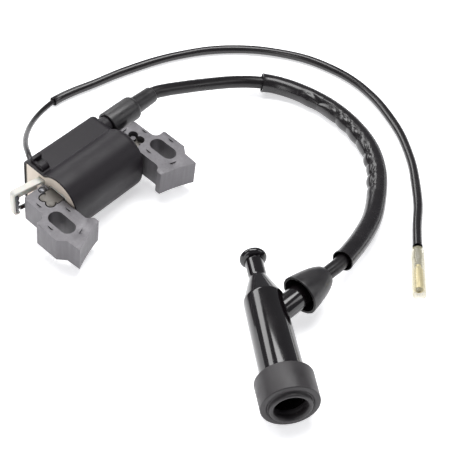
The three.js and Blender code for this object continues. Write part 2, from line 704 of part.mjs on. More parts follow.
function potting() {
  const inset = HOUSING_WALL + GAP;
  const left = HOUSING_LEFT_X + POTTING_INSET;
  const right = HOUSING_RIGHT_X - HOUSING_END_WALL - GAP;
  const fill = solid(prismX(housingSection(inset), left, right));
  const mouth = prismX(roundCore(TUBE_OUTER + GAP), left - CUT, right + CUT, { curveSegments: 4 });
  const coilSpace = prismX(
    roundCore(SECONDARY_OUTER + GAP),
    FLANGE_LEFT_X - GAP,
    BOBBIN_RIGHT_X + GAP,
    { curveSegments: 4 },
  );
  const terminalHole = rodX(TERMINAL_RADIUS + GAP, TERMINAL_START_X - GAP, HOUSING_RIGHT_X, 12, NECK_Y, NECK_Z);
  const wireHole = wireTunnel(WIRE_RADIUS + GAP, BOARD_Y, BOX_BACK_Y);
  return cut(
    fill,
    mouth,
    coilSpace,
    boardSpace(GAP),
    terminalHole,
    wireHole,
    placeGuard(guardRoot(GAP)),
    placeGuard(earthWireRod(EARTH_WIRE_RADIUS + GAP, GAP)),
  );
}

// ---------------------------------------------------------------- earth guard

// The guard's own frame: x = 0 at the fill's face, the strap runs towards -x.
function placeGuard(geometry) {
  return geometry
    .rotateZ(-GUARD_ANGLE)
    .translate(HOUSING_LEFT_X + POTTING_INSET - GAP, LEG_BACK_Y + 2 * GAP, 0);
}

function guardRoot(grow) {
  return block(
    [-GUARD_SHEET, GUARD_ROOT + grow],
    [-grow, GUARD_DEPTH + grow],
    [GUARD_TOP_Z - 2 * GUARD_SHEET - grow, GUARD_TOP_Z + grow],
  );
}

function guardStrap() {
  const low = GUARD_BOTTOM_Z;
  const high = GUARD_TOP_Z;
  const outer = new THREE.Shape();
  outer.moveTo(0, high);
  outer.absarc(-GUARD_LENGTH + GUARD_CORNER, high - GUARD_CORNER, GUARD_CORNER, Math.PI / 2, Math.PI);
  outer.absarc(-GUARD_LENGTH + GUARD_CORNER, low + GUARD_CORNER, GUARD_CORNER, Math.PI, 1.5 * Math.PI);
  outer.lineTo(-GUARD_LENGTH + GUARD_LIP, low);
  outer.lineTo(-GUARD_LENGTH + GUARD_LIP, low + GUARD_SHEET);
  const inner = GUARD_CORNER - GUARD_SHEET;
  outer.absarc(-GUARD_LENGTH + GUARD_CORNER, low + GUARD_CORNER, inner, 1.5 * Math.PI, Math.PI, true);
  outer.absarc(-GUARD_LENGTH + GUARD_CORNER, high - GUARD_CORNER, inner, Math.PI, Math.PI / 2, true);
  outer.lineTo(0, high - GUARD_SHEET);
  outer.closePath();
  const strap = new THREE.ExtrudeGeometry(outer, { depth: GUARD_DEPTH, bevelEnabled: false, curveSegments: 4 });
  return strap.rotateX(Math.PI / 2).translate(0, GUARD_DEPTH, 0);
}

function wireGuard() {
  const backWall = block(
    [-GUARD_LENGTH + GUARD_SHEET / 2, -GUARD_CORNER],
    [GUARD_DEPTH - GUARD_SHEET, GUARD_DEPTH],
    [GUARD_BACK_WALL_Z, GUARD_TOP_Z - GUARD_SHEET / 2],
  );
  return join(...[guardStrap(), backWall, guardRoot(0)].map(placeGuard));
}

function earthLug() {
  const x = -GUARD_LENGTH + GUARD_SHEET + GAP;
  const top = GUARD_TOP_Z - GUARD_CORNER - GAP;
  const y = (GUARD_DEPTH - GUARD_SHEET - GAP) / 2;
  const plate = block([x, x + GUARD_SHEET], [0, 2 * y], [GUARD_BOTTOM_Z + GUARD_CORNER, top]);
  const beads = LUG_BEADS_Z.map((z) =>
    new THREE.SphereGeometry(LUG_BEAD_RADIUS, 12, 8).translate(x + GUARD_SHEET, y, z),
  );
  return join(...[plate, ...beads].map(placeGuard));
}

function earthWireRod(radius, grow = 0) {
  const start = -GUARD_LENGTH + 2 * GUARD_SHEET + 2 * GAP + LUG_BEAD_RADIUS;
  const y = GUARD_DEPTH / 2;
  return rodX(radius, start - grow, GUARD_ROOT + grow, 12, y, EARTH_WIRE_Z);
}

// ---------------------------------------------------------------- igniter

const BOARD_FRONT_Y = BOARD_Y - BOARD_THICK / 2 - GAP;

function igniterBoard() {
  const plate = block(BOARD_X, [BOARD_Y - BOARD_THICK / 2, BOARD_Y + BOARD_THICK / 2], BOARD_Z);
  return cut(solid(plate), wireTunnel(WIRE_RADIUS + GAP, BOARD_Y - CUT, BOX_BACK_Y));
}

function powerTransistor() {
  const [width, depth, height] = TRANSISTOR_SIZE;
  const [x, z] = [TRANSISTOR_X, STACK_MID - 2];
  return block(
    [x - width / 2, x + width / 2],
    [BOARD_FRONT_Y - depth, BOARD_FRONT_Y],
    [z - height / 2, z + height / 2],
  );
}

function driveResistor() {
  const end = RESISTOR_LENGTH / 2;
  const waist = end * 0.6;
  const profile = [
    [-end, 0],
    [-end, RESISTOR_RADIUS],
    [-waist, RESISTOR_RADIUS],
    [-waist, RESISTOR_RADIUS * 0.8],
    [waist, RESISTOR_RADIUS * 0.8],
    [waist, RESISTOR_RADIUS],
    [end, RESISTOR_RADIUS],
    [end, 0],
  ];
  return turnedX(profile, 12).translate(RESISTOR_X, BOARD_FRONT_Y - RESISTOR_RADIUS, STACK_MID);
}

// ---------------------------------------------------------------- lead collar

function leadCollar() {
  const [mouth, shoulder, end] = COLLAR_X;
  const [tailStart, tailEnd] = COLLAR_TAIL_RADIUS;
  const neckBore = NECK_RADIUS + GAP;
  const leadBore = LEAD_RADIUS + GAP;
  return turnedX(
    [
      [mouth, neckBore],
      [mouth, COLLAR_RADIUS - COLLAR_EDGE],
      [mouth + COLLAR_EDGE, COLLAR_RADIUS],
      [shoulder - COLLAR_SHOULDER, COLLAR_RADIUS],
      [shoulder - COLLAR_EDGE, COLLAR_RADIUS - COLLAR_SHOULDER / 2],
      [shoulder, tailStart],
      [end - COLLAR_EDGE, tailEnd],
      [end, tailEnd - COLLAR_EDGE],
      [end, leadBore],
      [NECK_END_X + GAP, leadBore],
      [NECK_END_X + GAP, neckBore],
    ],
    24,
    NECK_Y,
    NECK_Z,
  );
}

// ---------------------------------------------------------------- plug cap

function capBody() {
  const knobPoints = Array.from({ length: 9 }, (_, i) => {
    const angle = Math.PI * (1 - i / 8);
    const bulge = Math.sqrt(Math.abs(Math.sin(angle)));
    return [KNOB_X + KNOB_HALF_LENGTH * Math.cos(angle), KNOB_RADIUS * Math.max(bulge, 0)];
  });
  const outline = [
    [CAP_BODY_START_X, 0],
    [CAP_BODY_START_X, CAP_MOUTH_RADIUS],
    [CAP_BODY_END_X, CAP_SHOULDER_RADIUS],
    [CAP_NECK_X, CAP_NECK_RADIUS],
    [KNOB_X - KNOB_HALF_LENGTH, CAP_NECK_RADIUS],
    ...knobPoints.slice(2, -1),
    [KNOB_X + KNOB_HALF_LENGTH, 0],
  ];
  const branch = alongBranch(rodX(BRANCH_RADIUS, 0, BRANCH_END, 24));
  const bores = [
    rodX(PLUG_BORE_RADIUS, -CUT, PLUG_BORE_END_X, 28),
    rodX(CORE_BORE_RADIUS, 0, CORE_BORE_END_X, 20),
    alongBranch(rodX(LEAD_BORE_RADIUS, 0, BRANCH_END + CUT, 20)),
  ];
  return cut(join(turnedX(outline, 28), branch), ...bores);
}

// From the branch's own axis, which starts on the cap's axis, into the cap's frame.
function alongBranch(geometry) {
  return geometry.rotateZ(BRANCH_ANGLE).translate(BRANCH_X, 0, 0);
}

function capSeal() {
  const body = CAP_MOUTH_RADIUS + GAP;
  return turnedX(
    [
      [0, PLUG_BORE_RADIUS],
      [0, SEAL_LIP_RADIUS - SEAL_EDGE],
      [SEAL_EDGE, SEAL_LIP_RADIUS],
      [SEAL_FACE_X, SEAL_LIP_RADIUS],
      [SEAL_FACE_X, SEAL_RADIUS - SEAL_EDGE],
      [SEAL_FACE_X + SEAL_EDGE, SEAL_RADIUS],
      [SEAL_END_X - SEAL_EDGE, SEAL_RADIUS],
      [SEAL_END_X, SEAL_RADIUS - SEAL_EDGE],
      [SEAL_END_X, body],
      [CAP_BODY_START_X - GAP, body],
      [CAP_BODY_START_X - GAP, PLUG_BORE_RADIUS],
    ],
    32,
  );
}

function plugSocket() {
  const [mouth, floor] = SOCKET_X;
  const groove = SOCKET_BORE_RADIUS + SNAP_RING_WIRE;
  return turnedX(
    [
      [floor, 0],
      [floor, SOCKET_RADIUS],
      [SNAP_RING_X + 3 * SNAP_RING_WIRE, SOCKET_RADIUS],
      [SNAP_RING_X + 3 * SNAP_RING_WIRE, groove],
      [SNAP_RING_X - 2 * SNAP_RING_WIRE, groove],
      [SNAP_RING_X - 2 * SNAP_RING_WIRE, SOCKET_RADIUS],
      [mouth, SOCKET_RADIUS],
      [mouth, SOCKET_BORE_RADIUS],
      [floor - SOCKET_FLOOR, SOCKET_BORE_RADIUS],
      [floor - SOCKET_FLOOR, 0],
    ].reverse(),
    20,
  );
}

function snapRing() {
  const radius = SOCKET_BORE_RADIUS + 2 * SNAP_RING_WIRE + GAP;
  const ring = new THREE.Curve();
  ring.getPoint = (t) => {
    const angle = SNAP_RING_GAP / 2 + t * (2 * Math.PI - SNAP_RING_GAP);
    return new THREE.Vector3(SNAP_RING_X, radius * Math.cos(angle), radius * Math.sin(angle));
  };
  return tube(ring, 20, SNAP_RING_WIRE, 6);
}

const SUPPRESSOR_X = [SOCKET_X[1] + GAP, SOCKET_X[1] + GAP + SUPPRESSOR_LENGTH];
const SPRING_X = SUPPRESSOR_X[1] + GAP + SPRING_WIRE;
const CONTACT_X = SPRING_X + SPRING_LENGTH - SPRING_WIRE + GAP;

function contactSpring() {
  const helix = new THREE.Curve();
  helix.getPoint = (t) => {
    const angle = 2 * Math.PI * SPRING_TURNS * t;
    const x = SPRING_X + (SPRING_LENGTH - 2 * SPRING_WIRE) * t;
    return new THREE.Vector3(x, SPRING_RADIUS * Math.cos(angle), SPRING_RADIUS * Math.sin(angle));
  };
  return tube(helix, 42, SPRING_WIRE, 5);
}

function leadScrew() {
  const contact = rodX(CONTACT_RADIUS, CONTACT_X, CONTACT_X + CONTACT_LENGTH, 16);
  const spike = alongBranch(rodX(LEAD_SCREW_RADIUS, 0, LEAD_SCREW_TIP, 10));
  return join(contact, spike);
}

// On the branch's own axis, so that it slides along it.
function capBoot() {
  const [mouth, end] = CAP_BOOT_RANGE;
  const nose = end - CAP_BOOT_NOSE;
  const grip = LEAD_RADIUS + GAP;
  const shoulder = end - COLLAR_SHOULDER;
  const slope = (CAP_BOOT_MOUTH_RADIUS - CAP_BOOT_END_RADIUS) / (end - mouth);
  const outer = (x) => CAP_BOOT_MOUTH_RADIUS - slope * (x - mouth) * (0.75 + (0.25 * (x - mouth)) / (end - mouth));
  const middle = (mouth + nose) / 2;
  return turnedX(
    [
      [mouth, CAP_BOOT_MOUTH_RADIUS - CAP_BOOT_WALL],
      [mouth, CAP_BOOT_MOUTH_RADIUS],
      [middle, outer(middle)],
      [shoulder, outer(shoulder)],
      [end, CAP_BOOT_END_RADIUS - COLLAR_EDGE],
      [end, grip],
      [nose, grip],
      [BRANCH_END + GAP, BRANCH_RADIUS + GAP],
      [middle, Math.max(outer(middle) - CAP_BOOT_WALL, BRANCH_RADIUS + GAP)],
    ],
    24,
  );
}

// ---------------------------------------------------------------- bullet connector

function bulletSocket() {
  const [crimp, crimpEnd] = BULLET_CRIMP_X;
  const [barrel, barrelEnd] = BULLET_BARREL_X;
  return turnedX(
    [
      [crimp, 0],
      [crimp, BULLET_CRIMP_RADIUS],
      [crimpEnd, BULLET_CRIMP_RADIUS],
      [barrel, BULLET_RADIUS],
      [barrelEnd, BULLET_RADIUS],
      [barrelEnd, BULLET_BORE_RADIUS],
      [barrel + BULLET_FLOOR, BULLET_BORE_RADIUS],
      [barrel + BULLET_FLOOR, 0],
    ],
    20,
  );
}

function clearSleeve() {
  const [from, to] = CLEAR_SLEEVE_X;
  const [inner, outer] = CLEAR_SLEEVE_RADIUS;
  return turnedX(
    [
      [from, inner],
      [from, outer],
      [to, outer],
      [to, inner],
    ],
    20,
  );
}

// ---------------------------------------------------------------- assembly

const coil = new THREE.Group();
coil.add(
  mesh("housing", housing(), "housing"),
  mesh("potting", potting(), "resin"),
  mesh("centre_core", centreCore(), "brownSteel"),
  mesh("left_leg", leg(-1), "steel"),
  mesh("right_leg", leg(1), "steel"),
  mesh("earth_pin", earthPin(), "tin"),
  mesh("core_rivet", coreRivet(), "steel"),
  mesh("primary_bobbin", primaryBobbin(), "nylon"),
  mesh("primary_winding", windingRing(PRIMARY_INNER, PRIMARY_OUTER, PRIMARY_LEFT_X, PRIMARY_RIGHT_X), "copper"),
  mesh("secondary_bobbin", secondaryBobbin(), "nylon"),
  mesh(
    "secondary_winding",
    windingRing(
      SECONDARY_COIL,
      SECONDARY_OUTER,
      SECONDARY_LEFT_X + FLANGE_THICK + GAP,
      SECONDARY_RIGHT_X - FLANGE_THICK - GAP,
    ),
    "copper",
  ),
  mesh("wire_guard", wireGuard(), "nylon"),
  mesh("earth_lug", earthLug(), "tin"),
  mesh("earth_wire", placeGuard(earthWireRod(EARTH_WIRE_RADIUS)), "cable"),
  mesh("igniter_board", igniterBoard(), "board"),
  mesh("power_transistor", powerTransistor(), "epoxyBlack"),
  mesh("drive_resistor", driveResistor(), "ceramic"),
  mesh(
    "ht_terminal",
    rodX(TERMINAL_RADIUS, TERMINAL_START_X, LEAD_START_X - GAP, 12, NECK_Y, NECK_Z),
    "brass",
  ),
);

const collar = new THREE.Group();
collar.add(mesh("lead_collar", leadCollar(), "rubber"));

// The coil stands on the surface with its box centred over the origin, without the collar.
coil.rotation.x = COIL_TILT;
const coilBox = new THREE.Box3().setFromObject(coil, true);
const coilMiddle = coilBox.getCenter(new THREE.Vector3());
coil.position.set(-coilMiddle.x, -coilMiddle.y, -coilBox.min.z);
collar.rotation.copy(coil.rotation);
collar.position.copy(coil.position);

const cap = new THREE.Group();
cap.add(
  mesh("cap_body", capBody(), "bakelite"),
  mesh("cap_seal", capSeal(), "rubber"),
  mesh("plug_socket", plugSocket(), "brass"),
  mesh("snap_ring", snapRing(), "steel"),
  mesh("suppressor_resistor", rodX(SUPPRESSOR_RADIUS, ...SUPPRESSOR_X), "ceramic"),
  mesh("contact_spring", contactSpring(), "steel"),
  mesh("lead_screw", leadScrew(), "brass"),
  mesh("cap_boot", alongBranch(capBoot()), "rubber"),
);
cap.rotation.z = CAP_ANGLE;
cap.position.set(...CAP_ORIGIN);

const connector = new THREE.Group();
connector.add(
  mesh("bullet_socket", bulletSocket(), "brass"),
  mesh("connector_sleeve", clearSleeve(), "clear"),
);
connector.rotation.z = CONNECTOR_ANGLE;
connector.position.set(...CONNECTOR_ORIGIN);

coil.updateMatrixWorld(true);
const onCoil = (x, y, z) => coil.localToWorld(new THREE.Vector3(x, y, z)).toArray();
const leadCurve = curveThrough([
  ...LEAD_STRAIGHT_X.map((x) => onCoil(x, NECK_Y, NECK_Z)),
  ...LEAD_NEAR_ROUTE.map((point) => onCoil(...point)),
  ...LEAD_ROUTE,
]);
const wireCurve = curveThrough([
  ...WIRE_STRAIGHT_Y.map((y) => onCoil(WIRE_EXIT_X, y, WIRE_EXIT_Z)),
  ...WIRE_ROUTE,
]);
const cords = new THREE.Group();
cords.add(
  mesh("ht_lead", tube(leadCurve, LEAD_STEPS, LEAD_RADIUS, LEAD_SIDES), "cable"),
  mesh(
    "lead_sleeve",
    tube(
      new Stretch(leadCurve, SLEEVE_RANGE),
      SLEEVE_STEPS,
      SLEEVE_OUTER_RADIUS,
      LEAD_SIDES,
      SLEEVE_INNER_RADIUS,
    ),
    "sleeve",
  ),
  mesh("stop_wire", tube(wireCurve, WIRE_STEPS, WIRE_RADIUS, WIRE_SIDES), "cable"),
  mesh(
    "stop_wire_sleeve",
    tube(
      new Stretch(wireCurve, WIRE_SLEEVE_RANGE),
      WIRE_SLEEVE_STEPS,
      WIRE_SLEEVE_OUTER_RADIUS,
      WIRE_SIDES,
      WIRE_SLEEVE_INNER_RADIUS,
    ),
    "sleeve",
  ),
);

const ignitionCoil = new THREE.Group();
ignitionCoil.add(coil, collar, cap, connector, cords);

export default ignitionCoil;
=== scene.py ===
"""Looks for a small-engine ignition coil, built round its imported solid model.

Laid out as an add-on: settings, one operator for each group of pieces, one panel. Metres, +Z up.
"""

import math

import bpy
import numpy as np
from bpy.props import FloatProperty, FloatVectorProperty, IntProperty, PointerProperty
from mathutils import Matrix, Vector


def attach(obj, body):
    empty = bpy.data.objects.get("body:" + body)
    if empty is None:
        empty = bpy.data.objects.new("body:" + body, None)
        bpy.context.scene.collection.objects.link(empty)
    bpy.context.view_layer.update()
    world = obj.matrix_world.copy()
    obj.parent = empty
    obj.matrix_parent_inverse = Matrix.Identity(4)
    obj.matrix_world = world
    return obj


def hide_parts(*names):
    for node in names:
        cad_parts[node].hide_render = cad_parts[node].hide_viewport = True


bl_info = {
    "name": "Ignition coil",
    "version": (1, 0, 0),
    "blender": (4, 5, 0),
    "location": "3D View > Sidebar > Ignition coil",
    "description": "Builds the looks of an ignition coil, its two leads and its plug cap",
    "category": "Add Mesh",
}

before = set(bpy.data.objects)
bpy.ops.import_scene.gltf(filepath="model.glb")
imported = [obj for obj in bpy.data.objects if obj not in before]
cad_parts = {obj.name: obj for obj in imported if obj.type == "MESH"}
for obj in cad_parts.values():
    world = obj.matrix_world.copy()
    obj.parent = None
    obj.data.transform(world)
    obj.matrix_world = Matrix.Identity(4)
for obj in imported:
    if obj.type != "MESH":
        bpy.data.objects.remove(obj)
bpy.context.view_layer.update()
MM = 0.001
TILT = math.radians(9)

# The coil's own frame, tilted about X: its origin lies midway between the mounting slots.
COIL_ORIGIN = np.array([0, -10.116, 18.957]) * MM
COIL_TURN = np.array([
    [1, 0, 0],
    [0, math.cos(TILT), -math.sin(TILT)],
    [0, math.sin(TILT), math.cos(TILT)],
])

LEAD_ROUTE = np.array([
    (23, 17.88, 21.16), (38, 17.88, 21.16), (53, 17.88, 21.16), (59, 16.5, 20), (69, 14, 17),
    (81, 10.7, 13.2), (93, 6.3, 9.6), (102, 1, 7.1), (109, -6.3, 5.4), (113, -17, 4.6),
    (114.2, -30, 4.4), (113, -43, 4.4), (109.3, -56, 4.4), (102.8, -69, 4.4), (93, -80.3, 4.4),
    (80.5, -89.5, 4.5), (67, -97, 5.5), (53.5, -101.6, 7.5), (42, -104.3, 9.5), (32, -105.7, 11),
    (23, -105.27, 11.35), (13, -104.7, 11.35), (3.5, -104.16, 11.35),
]) * MM
WIRE_ROUTE = np.array([
    (-15.6, 17.9, 22.08), (-15.6, 22.68, 22.84), (-14.7, 25.8, 22.9), (-12.4, 29.7, 21.9),
    (-8.6, 35.8, 19.4), (-3.8, 42.1, 16.4), (2, 48.5, 12.8), (9, 55, 9), (17, 60.8, 5.6),
    (25.5, 65, 3.2), (34, 66.9, 2.2), (43.5, 65.6, 2.1), (56, 62.2, 2.1), (72.5, 57.8, 2.1),
    (86, 53, 2.1), (98.5, 47, 2.1), (110, 39.4, 2.1), (120.3, 30, 2.1), (128.6, 19, 2.1),
    (135, 6.8, 2.1), (139.2, -6.5, 2.1), (140.7, -21, 2.1), (139.4, -35.5, 2.1),
    (135.4, -48.5, 2.1), (129.3, -61.5, 2.1), (121.5, -74, 2.1), (111.5, -86, 2.1),
    (99.5, -97.2, 2.1), (88.5, -106, 2.2), (77.5, -113.2, 2.6), (70.5, -118.05, 2.86),
    (63.2, -123.45, 2.86),
]) * MM
CONNECTOR_ORIGIN = np.array([63.2, -123.45, 2.86]) * MM
CONNECTOR_ANGLE = math.radians(-143.5)
CAP_ORIGIN = np.array([-36.15, -136.5, 11.35]) * MM
CAP_ANGLE = math.radians(51.02)
BRANCH_ANGLE = math.radians(51.02 - 54.28)
BRANCH_STATION = 42.54


# ---------------------------------------------------------------- settings


def linear(red, green, blue):
    """A display colour, 0 to 255 a channel, as linear light."""
    share = np.array([red, green, blue]) / 255
    low = share / 12.92
    high = ((share + 0.055) / 1.055) ** 2.4
    return tuple(float(v) for v in np.where(share <= 0.04045, low, high))


def length(label, about, millimetres):
    """A length property, in metres."""
    return FloatProperty(
        name=label, description=about, default=millimetres * MM, min=0, subtype="DISTANCE", unit="LENGTH"
    )


def tint(label, about, *display):
    """A colour property."""
    return FloatVectorProperty(
        name=label, description=about, default=linear(*display), min=0, max=1, size=3, subtype="COLOR"
    )


class CoilStageSettings(bpy.types.PropertyGroup):
    """Camera, floor and lamps."""

    focal: FloatProperty(name="Focal length", description="Lens length", default=93.1, min=10, unit="CAMERA")
    position: FloatVectorProperty(
        name="Camera position", description="Where the camera stands",
        default=(-0.23535, -0.28497, 0.35594), subtype="TRANSLATION", unit="LENGTH",
    )
    azimuth: FloatProperty(
        name="Azimuth", description="Heading of the camera, 0 along +Y",
        default=math.radians(-47.98), subtype="ANGLE", unit="ROTATION",
    )
    elevation: FloatProperty(
        name="Elevation", description="How far the camera looks down",
        default=math.radians(45.27), subtype="ANGLE", unit="ROTATION",
    )
    roll: FloatProperty(
        name="Roll", description="Turn about the line of sight",
        default=math.radians(-0.78), subtype="ANGLE", unit="ROTATION",
    )
    floor: tint("Floor", "Colour of the surface that the coil lies on", 250, 250, 251)


class CoilHousingSettings(bpy.types.PropertyGroup):
    """The moulded housing and its fill."""

    wall: length("Wall", "Thickness of the housing at its open end", 0.85)
    round_end: length("End rounding", "Radius round the closed end", 2.6)
    plastic: tint("Housing", "Colour of the moulded housing", 27, 23, 28)
    resin: tint("Fill", "Colour of the cast fill", 222, 210, 196)


class CoilCoreSettings(bpy.types.PropertyGroup):
    """The stamped core."""

    edge: length("Stamped edge", "Width of the bright broken edge", 0.14)
    steel: tint("Legs", "Colour of the stamped faces", 106, 104, 107)
    bar: tint("Core bar", "Colour of the varnished middle bar", 92, 88, 83)


class CoilLeadSettings(bpy.types.PropertyGroup):
    """Leads and their sleeves."""

    lead_radius: length("Lead radius", "Radius of the high-tension lead", 2.97)
    wire_radius: length("Wire radius", "Radius of the stop wire", 1.25)
    folds: IntProperty(name="Folds", description="Creases along the inside of the sleeve's bend", default=9, min=0)
    jacket: tint("Jacket", "Colour of the lead's jacket", 20, 17, 19)
    sleeve: tint("Sleeve", "Colour of the loose sleeves", 22, 19, 21)


class CoilCapSettings(bpy.types.PropertyGroup):
    """The plug cap and the rubber pieces."""

    phenolic: tint("Cap", "Colour of the moulded cap", 15, 12, 14)
    rubber: tint("Rubber", "Colour of the rubber pieces", 30, 28, 30)


# ---------------------------------------------------------------- surfaces


def to_row(points):
    """Points of the coil's frame, in millimetres, turned by the tilt and shifted to the row's frame."""
    return np.asarray(points, float) * MM @ COIL_TURN.T + COIL_ORIGIN


def grid_faces(rows, columns, wrap_rows=False, wrap_columns=True):
    """Quads between neighbouring rows and columns of a grid of points."""
    i = np.arange(rows if wrap_rows else rows - 1)[:, None]
    j = np.arange(columns if wrap_columns else columns - 1)[None, :]
    i2, j2 = (i + 1) % rows, (j + 1) % columns
    corners = i * columns + j, i * columns + j2, i2 * columns + j2, i2 * columns + j
    return np.stack(np.broadcast_arrays(*corners), -1).reshape(-1, 4)


def signed_volume(points, quads):
    """Six times the volume inside the quads, positive where they face outwards."""
    a, b, c, d = (points[quads[:, k]] for k in range(4))
    return float((np.cross(a, b) * c).sum() + (np.cross(a, c) * d).sum())


def piece(name, grids, material, body, slot, replaces=(), sharp=35):
    """One object from closed grids of points: each is (points rows x columns x 3, wrap rows).

    Columns always close on themselves. Each grid is turned to face outwards by the sign of its volume, and
    rows that shrink to one point are merged.
    """
    verts, faces, start = [], [], 0
    for points, wrap_rows in grids:
        rows, columns = points.shape[:2]
        flat = points.reshape(-1, 3)
        quads = grid_faces(rows, columns, wrap_rows)
        if signed_volume(flat - flat.mean(0), quads) < 0:
            quads = quads[:, ::-1]
        verts.append(flat)
        faces.append(quads + start)
        start += len(flat)
    return from_arrays(name, np.concatenate(verts), np.concatenate(faces), material, body, slot, replaces, sharp)


def from_arrays(name, points, quads, material, body, slot, replaces=(), sharp=35):
    """A smooth-shaded object from arrays, its doubles merged and its creases kept sharp."""
    mesh = bpy.data.meshes.new(name)
    mesh.from_pydata(points.tolist(), [], quads.tolist())
    weld(mesh)
    mesh.polygons.foreach_set("use_smooth", np.ones(len(mesh.polygons), bool))
    mesh.set_sharp_from_angle(angle=math.radians(sharp))
    mesh.materials.append(material)
    made = bpy.data.objects.new(name, mesh)
    bpy.context.scene.collection.objects.link(made)
    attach(made, body)
    if replaces:
        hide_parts(*replaces)
    return made


def weld(mesh, distance=2e-7):
    """Merges points that coincide, such as those of a pole or of two triangles' corners."""
    import bmesh

    work = bmesh.new()
    work.from_mesh(mesh)
    bmesh.ops.remove_doubles(work, verts=work.verts, dist=distance)
    bmesh.ops.dissolve_degenerate(work, edges=work.edges, dist=distance)
    work.to_mesh(mesh)
    work.free()


def soften(profile, radius, steps=4, closed=False):
    """A polyline whose corners are quadratic arcs, each from radius before the corner to radius after it."""
    points = np.asarray(profile, float)
    before = np.roll(points, 1, 0)
    after = np.roll(points, -1, 0)
    reach = np.broadcast_to(np.asarray(radius, float), (len(points),))

    def towards(other):
        """Each corner moved towards its neighbour, by the reach or 0.45 of the way, whichever is less."""
        step = other - points
        span = np.linalg.norm(step, axis=1)
        share = np.minimum(reach / np.maximum(span, 1e-9), 0.45)
        return points + step * share[:, None]

    first, last = towards(before), towards(after)
    t = np.linspace(0, 1, steps)[None, :, None]
    arcs = (1 - t) ** 2 * first[:, None] + 2 * t * (1 - t) * points[:, None] + t**2 * last[:, None]
    if closed:
        return arcs.reshape(-1, 2)
    middle = arcs[1:-1].reshape(-1, 2)
    return np.concatenate([points[:1], middle, points[-1:]])


def turned(profile, origin, axis, up=(0, 0, 1), segments=64, ripple=None):
    """A surface of revolution: station along the axis and radius, in millimetres, swept round a full turn.

    ripple(station, angle) may add to the radius.
    """
    profile = np.asarray(profile, float)
    axis = np.asarray(axis, float) / np.linalg.norm(axis)
    side = np.cross(up, axis)
    side /= np.linalg.norm(side)
    top = np.cross(axis, side)
    angle = np.linspace(0, 2 * math.pi, segments, endpoint=False)[None, :]
    station, radius = profile[:, :1], profile[:, 1:2] + np.zeros_like(angle)
    if ripple is not None:
        radius = radius + ripple(station, angle) * (radius > 0)
    along = (station * MM)[..., None] * axis
    around = (radius * MM)[..., None] * (
        np.cos(angle)[..., None] * side + np.sin(angle)[..., None] * top
    )
    return np.asarray(origin) + along + around


def smooth_route(points, samples=400):
    """Evenly spaced points on the centripetal spline through the given ones: knots at the root of each chord."""
    p = np.concatenate([[2 * points[0] - points[1]], points, [2 * points[-1] - points[-2]]])
    p0, p1, p2, p3 = p[:-3, None], p[1:-2, None], p[2:-1, None], p[3:, None]

    def knot(a, b):
        """The square root of each chord."""
        return np.sqrt(np.linalg.norm(b - a, axis=-1, keepdims=True))

    d0, d1, d2 = knot(p0, p1), knot(p1, p2), knot(p2, p3)
    start = ((p1 - p0) / d0 - (p2 - p0) / (d0 + d1) + (p2 - p1) / d1) * d1
    end = ((p2 - p1) / d1 - (p3 - p1) / (d1 + d2) + (p3 - p2) / d2) * d1
    t = np.linspace(0, 1, 24, endpoint=False)[None, :, None]
    curve = (
        (2 * t**3 - 3 * t**2 + 1) * p1 + (t**3 - 2 * t**2 + t) * start
        + (3 * t**2 - 2 * t**3) * p2 + (t**3 - t**2) * end
    ).reshape(-1, 3)
    curve = np.concatenate([curve, points[-1:]])
    return stretch(curve, 0, 1, samples)


def stretch(curve, start, end, samples):
    """Evenly spaced points between two shares of a curve's length."""
    gone = np.concatenate([[0], np.cumsum(np.linalg.norm(np.diff(curve, axis=0), axis=1))])
    at = np.linspace(start, end, samples) * gone[-1]
    return np.stack([np.interp(at, gone, curve[:, k]) for k in range(3)], 1)


def frames(path):
    """Tangent, level side and top vectors along a path that never stands upright."""
    tangent = np.gradient(path, axis=0)
    tangent /= np.linalg.norm(tangent, axis=1, keepdims=True)
    side = np.cross([0, 0, 1.0], tangent)
    side /= np.linalg.norm(side, axis=1, keepdims=True)
    return tangent, side, np.cross(tangent, side)


def swept(path, radius):
    """Circles carried along a path: radius is one number, or an array of stations x angles, in metres."""
    _, side, top = frames(path)
    radius = np.atleast_2d(radius)
    columns = max(radius.shape[1], 24)
    angle = np.linspace(0, 2 * math.pi, columns, endpoint=False)
    ring = np.cos(angle)[None, :, None] * side[:, None] + np.sin(angle)[None, :, None] * top[:, None]
    return path[:, None] + np.broadcast_to(radius, (len(path), columns))[..., None] * ring


def rod(path, radius, columns=24):
    """A round cord with softly rounded ends: its radius falls to nothing on the first and last stations."""
    shares = np.ones(len(path))
    ends = np.array([0, 0.86, 0.96])
    shares[:3] = ends
    shares[-3:] = ends[::-1]
    held = path.copy()
    step = (path[1] - path[0]) / np.linalg.norm(path[1] - path[0])
    back = (path[-1] - path[-2]) / np.linalg.norm(path[-1] - path[-2])
    held[1] = path[0] + step * radius * 0.02
    held[2] = path[0] + step * radius * 0.12
    held[-2] = path[-1] - back * radius * 0.02
    held[-3] = path[-1] - back * radius * 0.12
    tube = swept(path, (shares * radius)[:, None] * np.ones((1, columns)))
    return tube + (held - path)[:, None]


def walled(path, outer, inner):
    """A tube with a wall: the outer grid, then the inner one back, to be closed over both ends."""
    return np.concatenate([swept(path, outer), swept(path, inner)[::-1]])


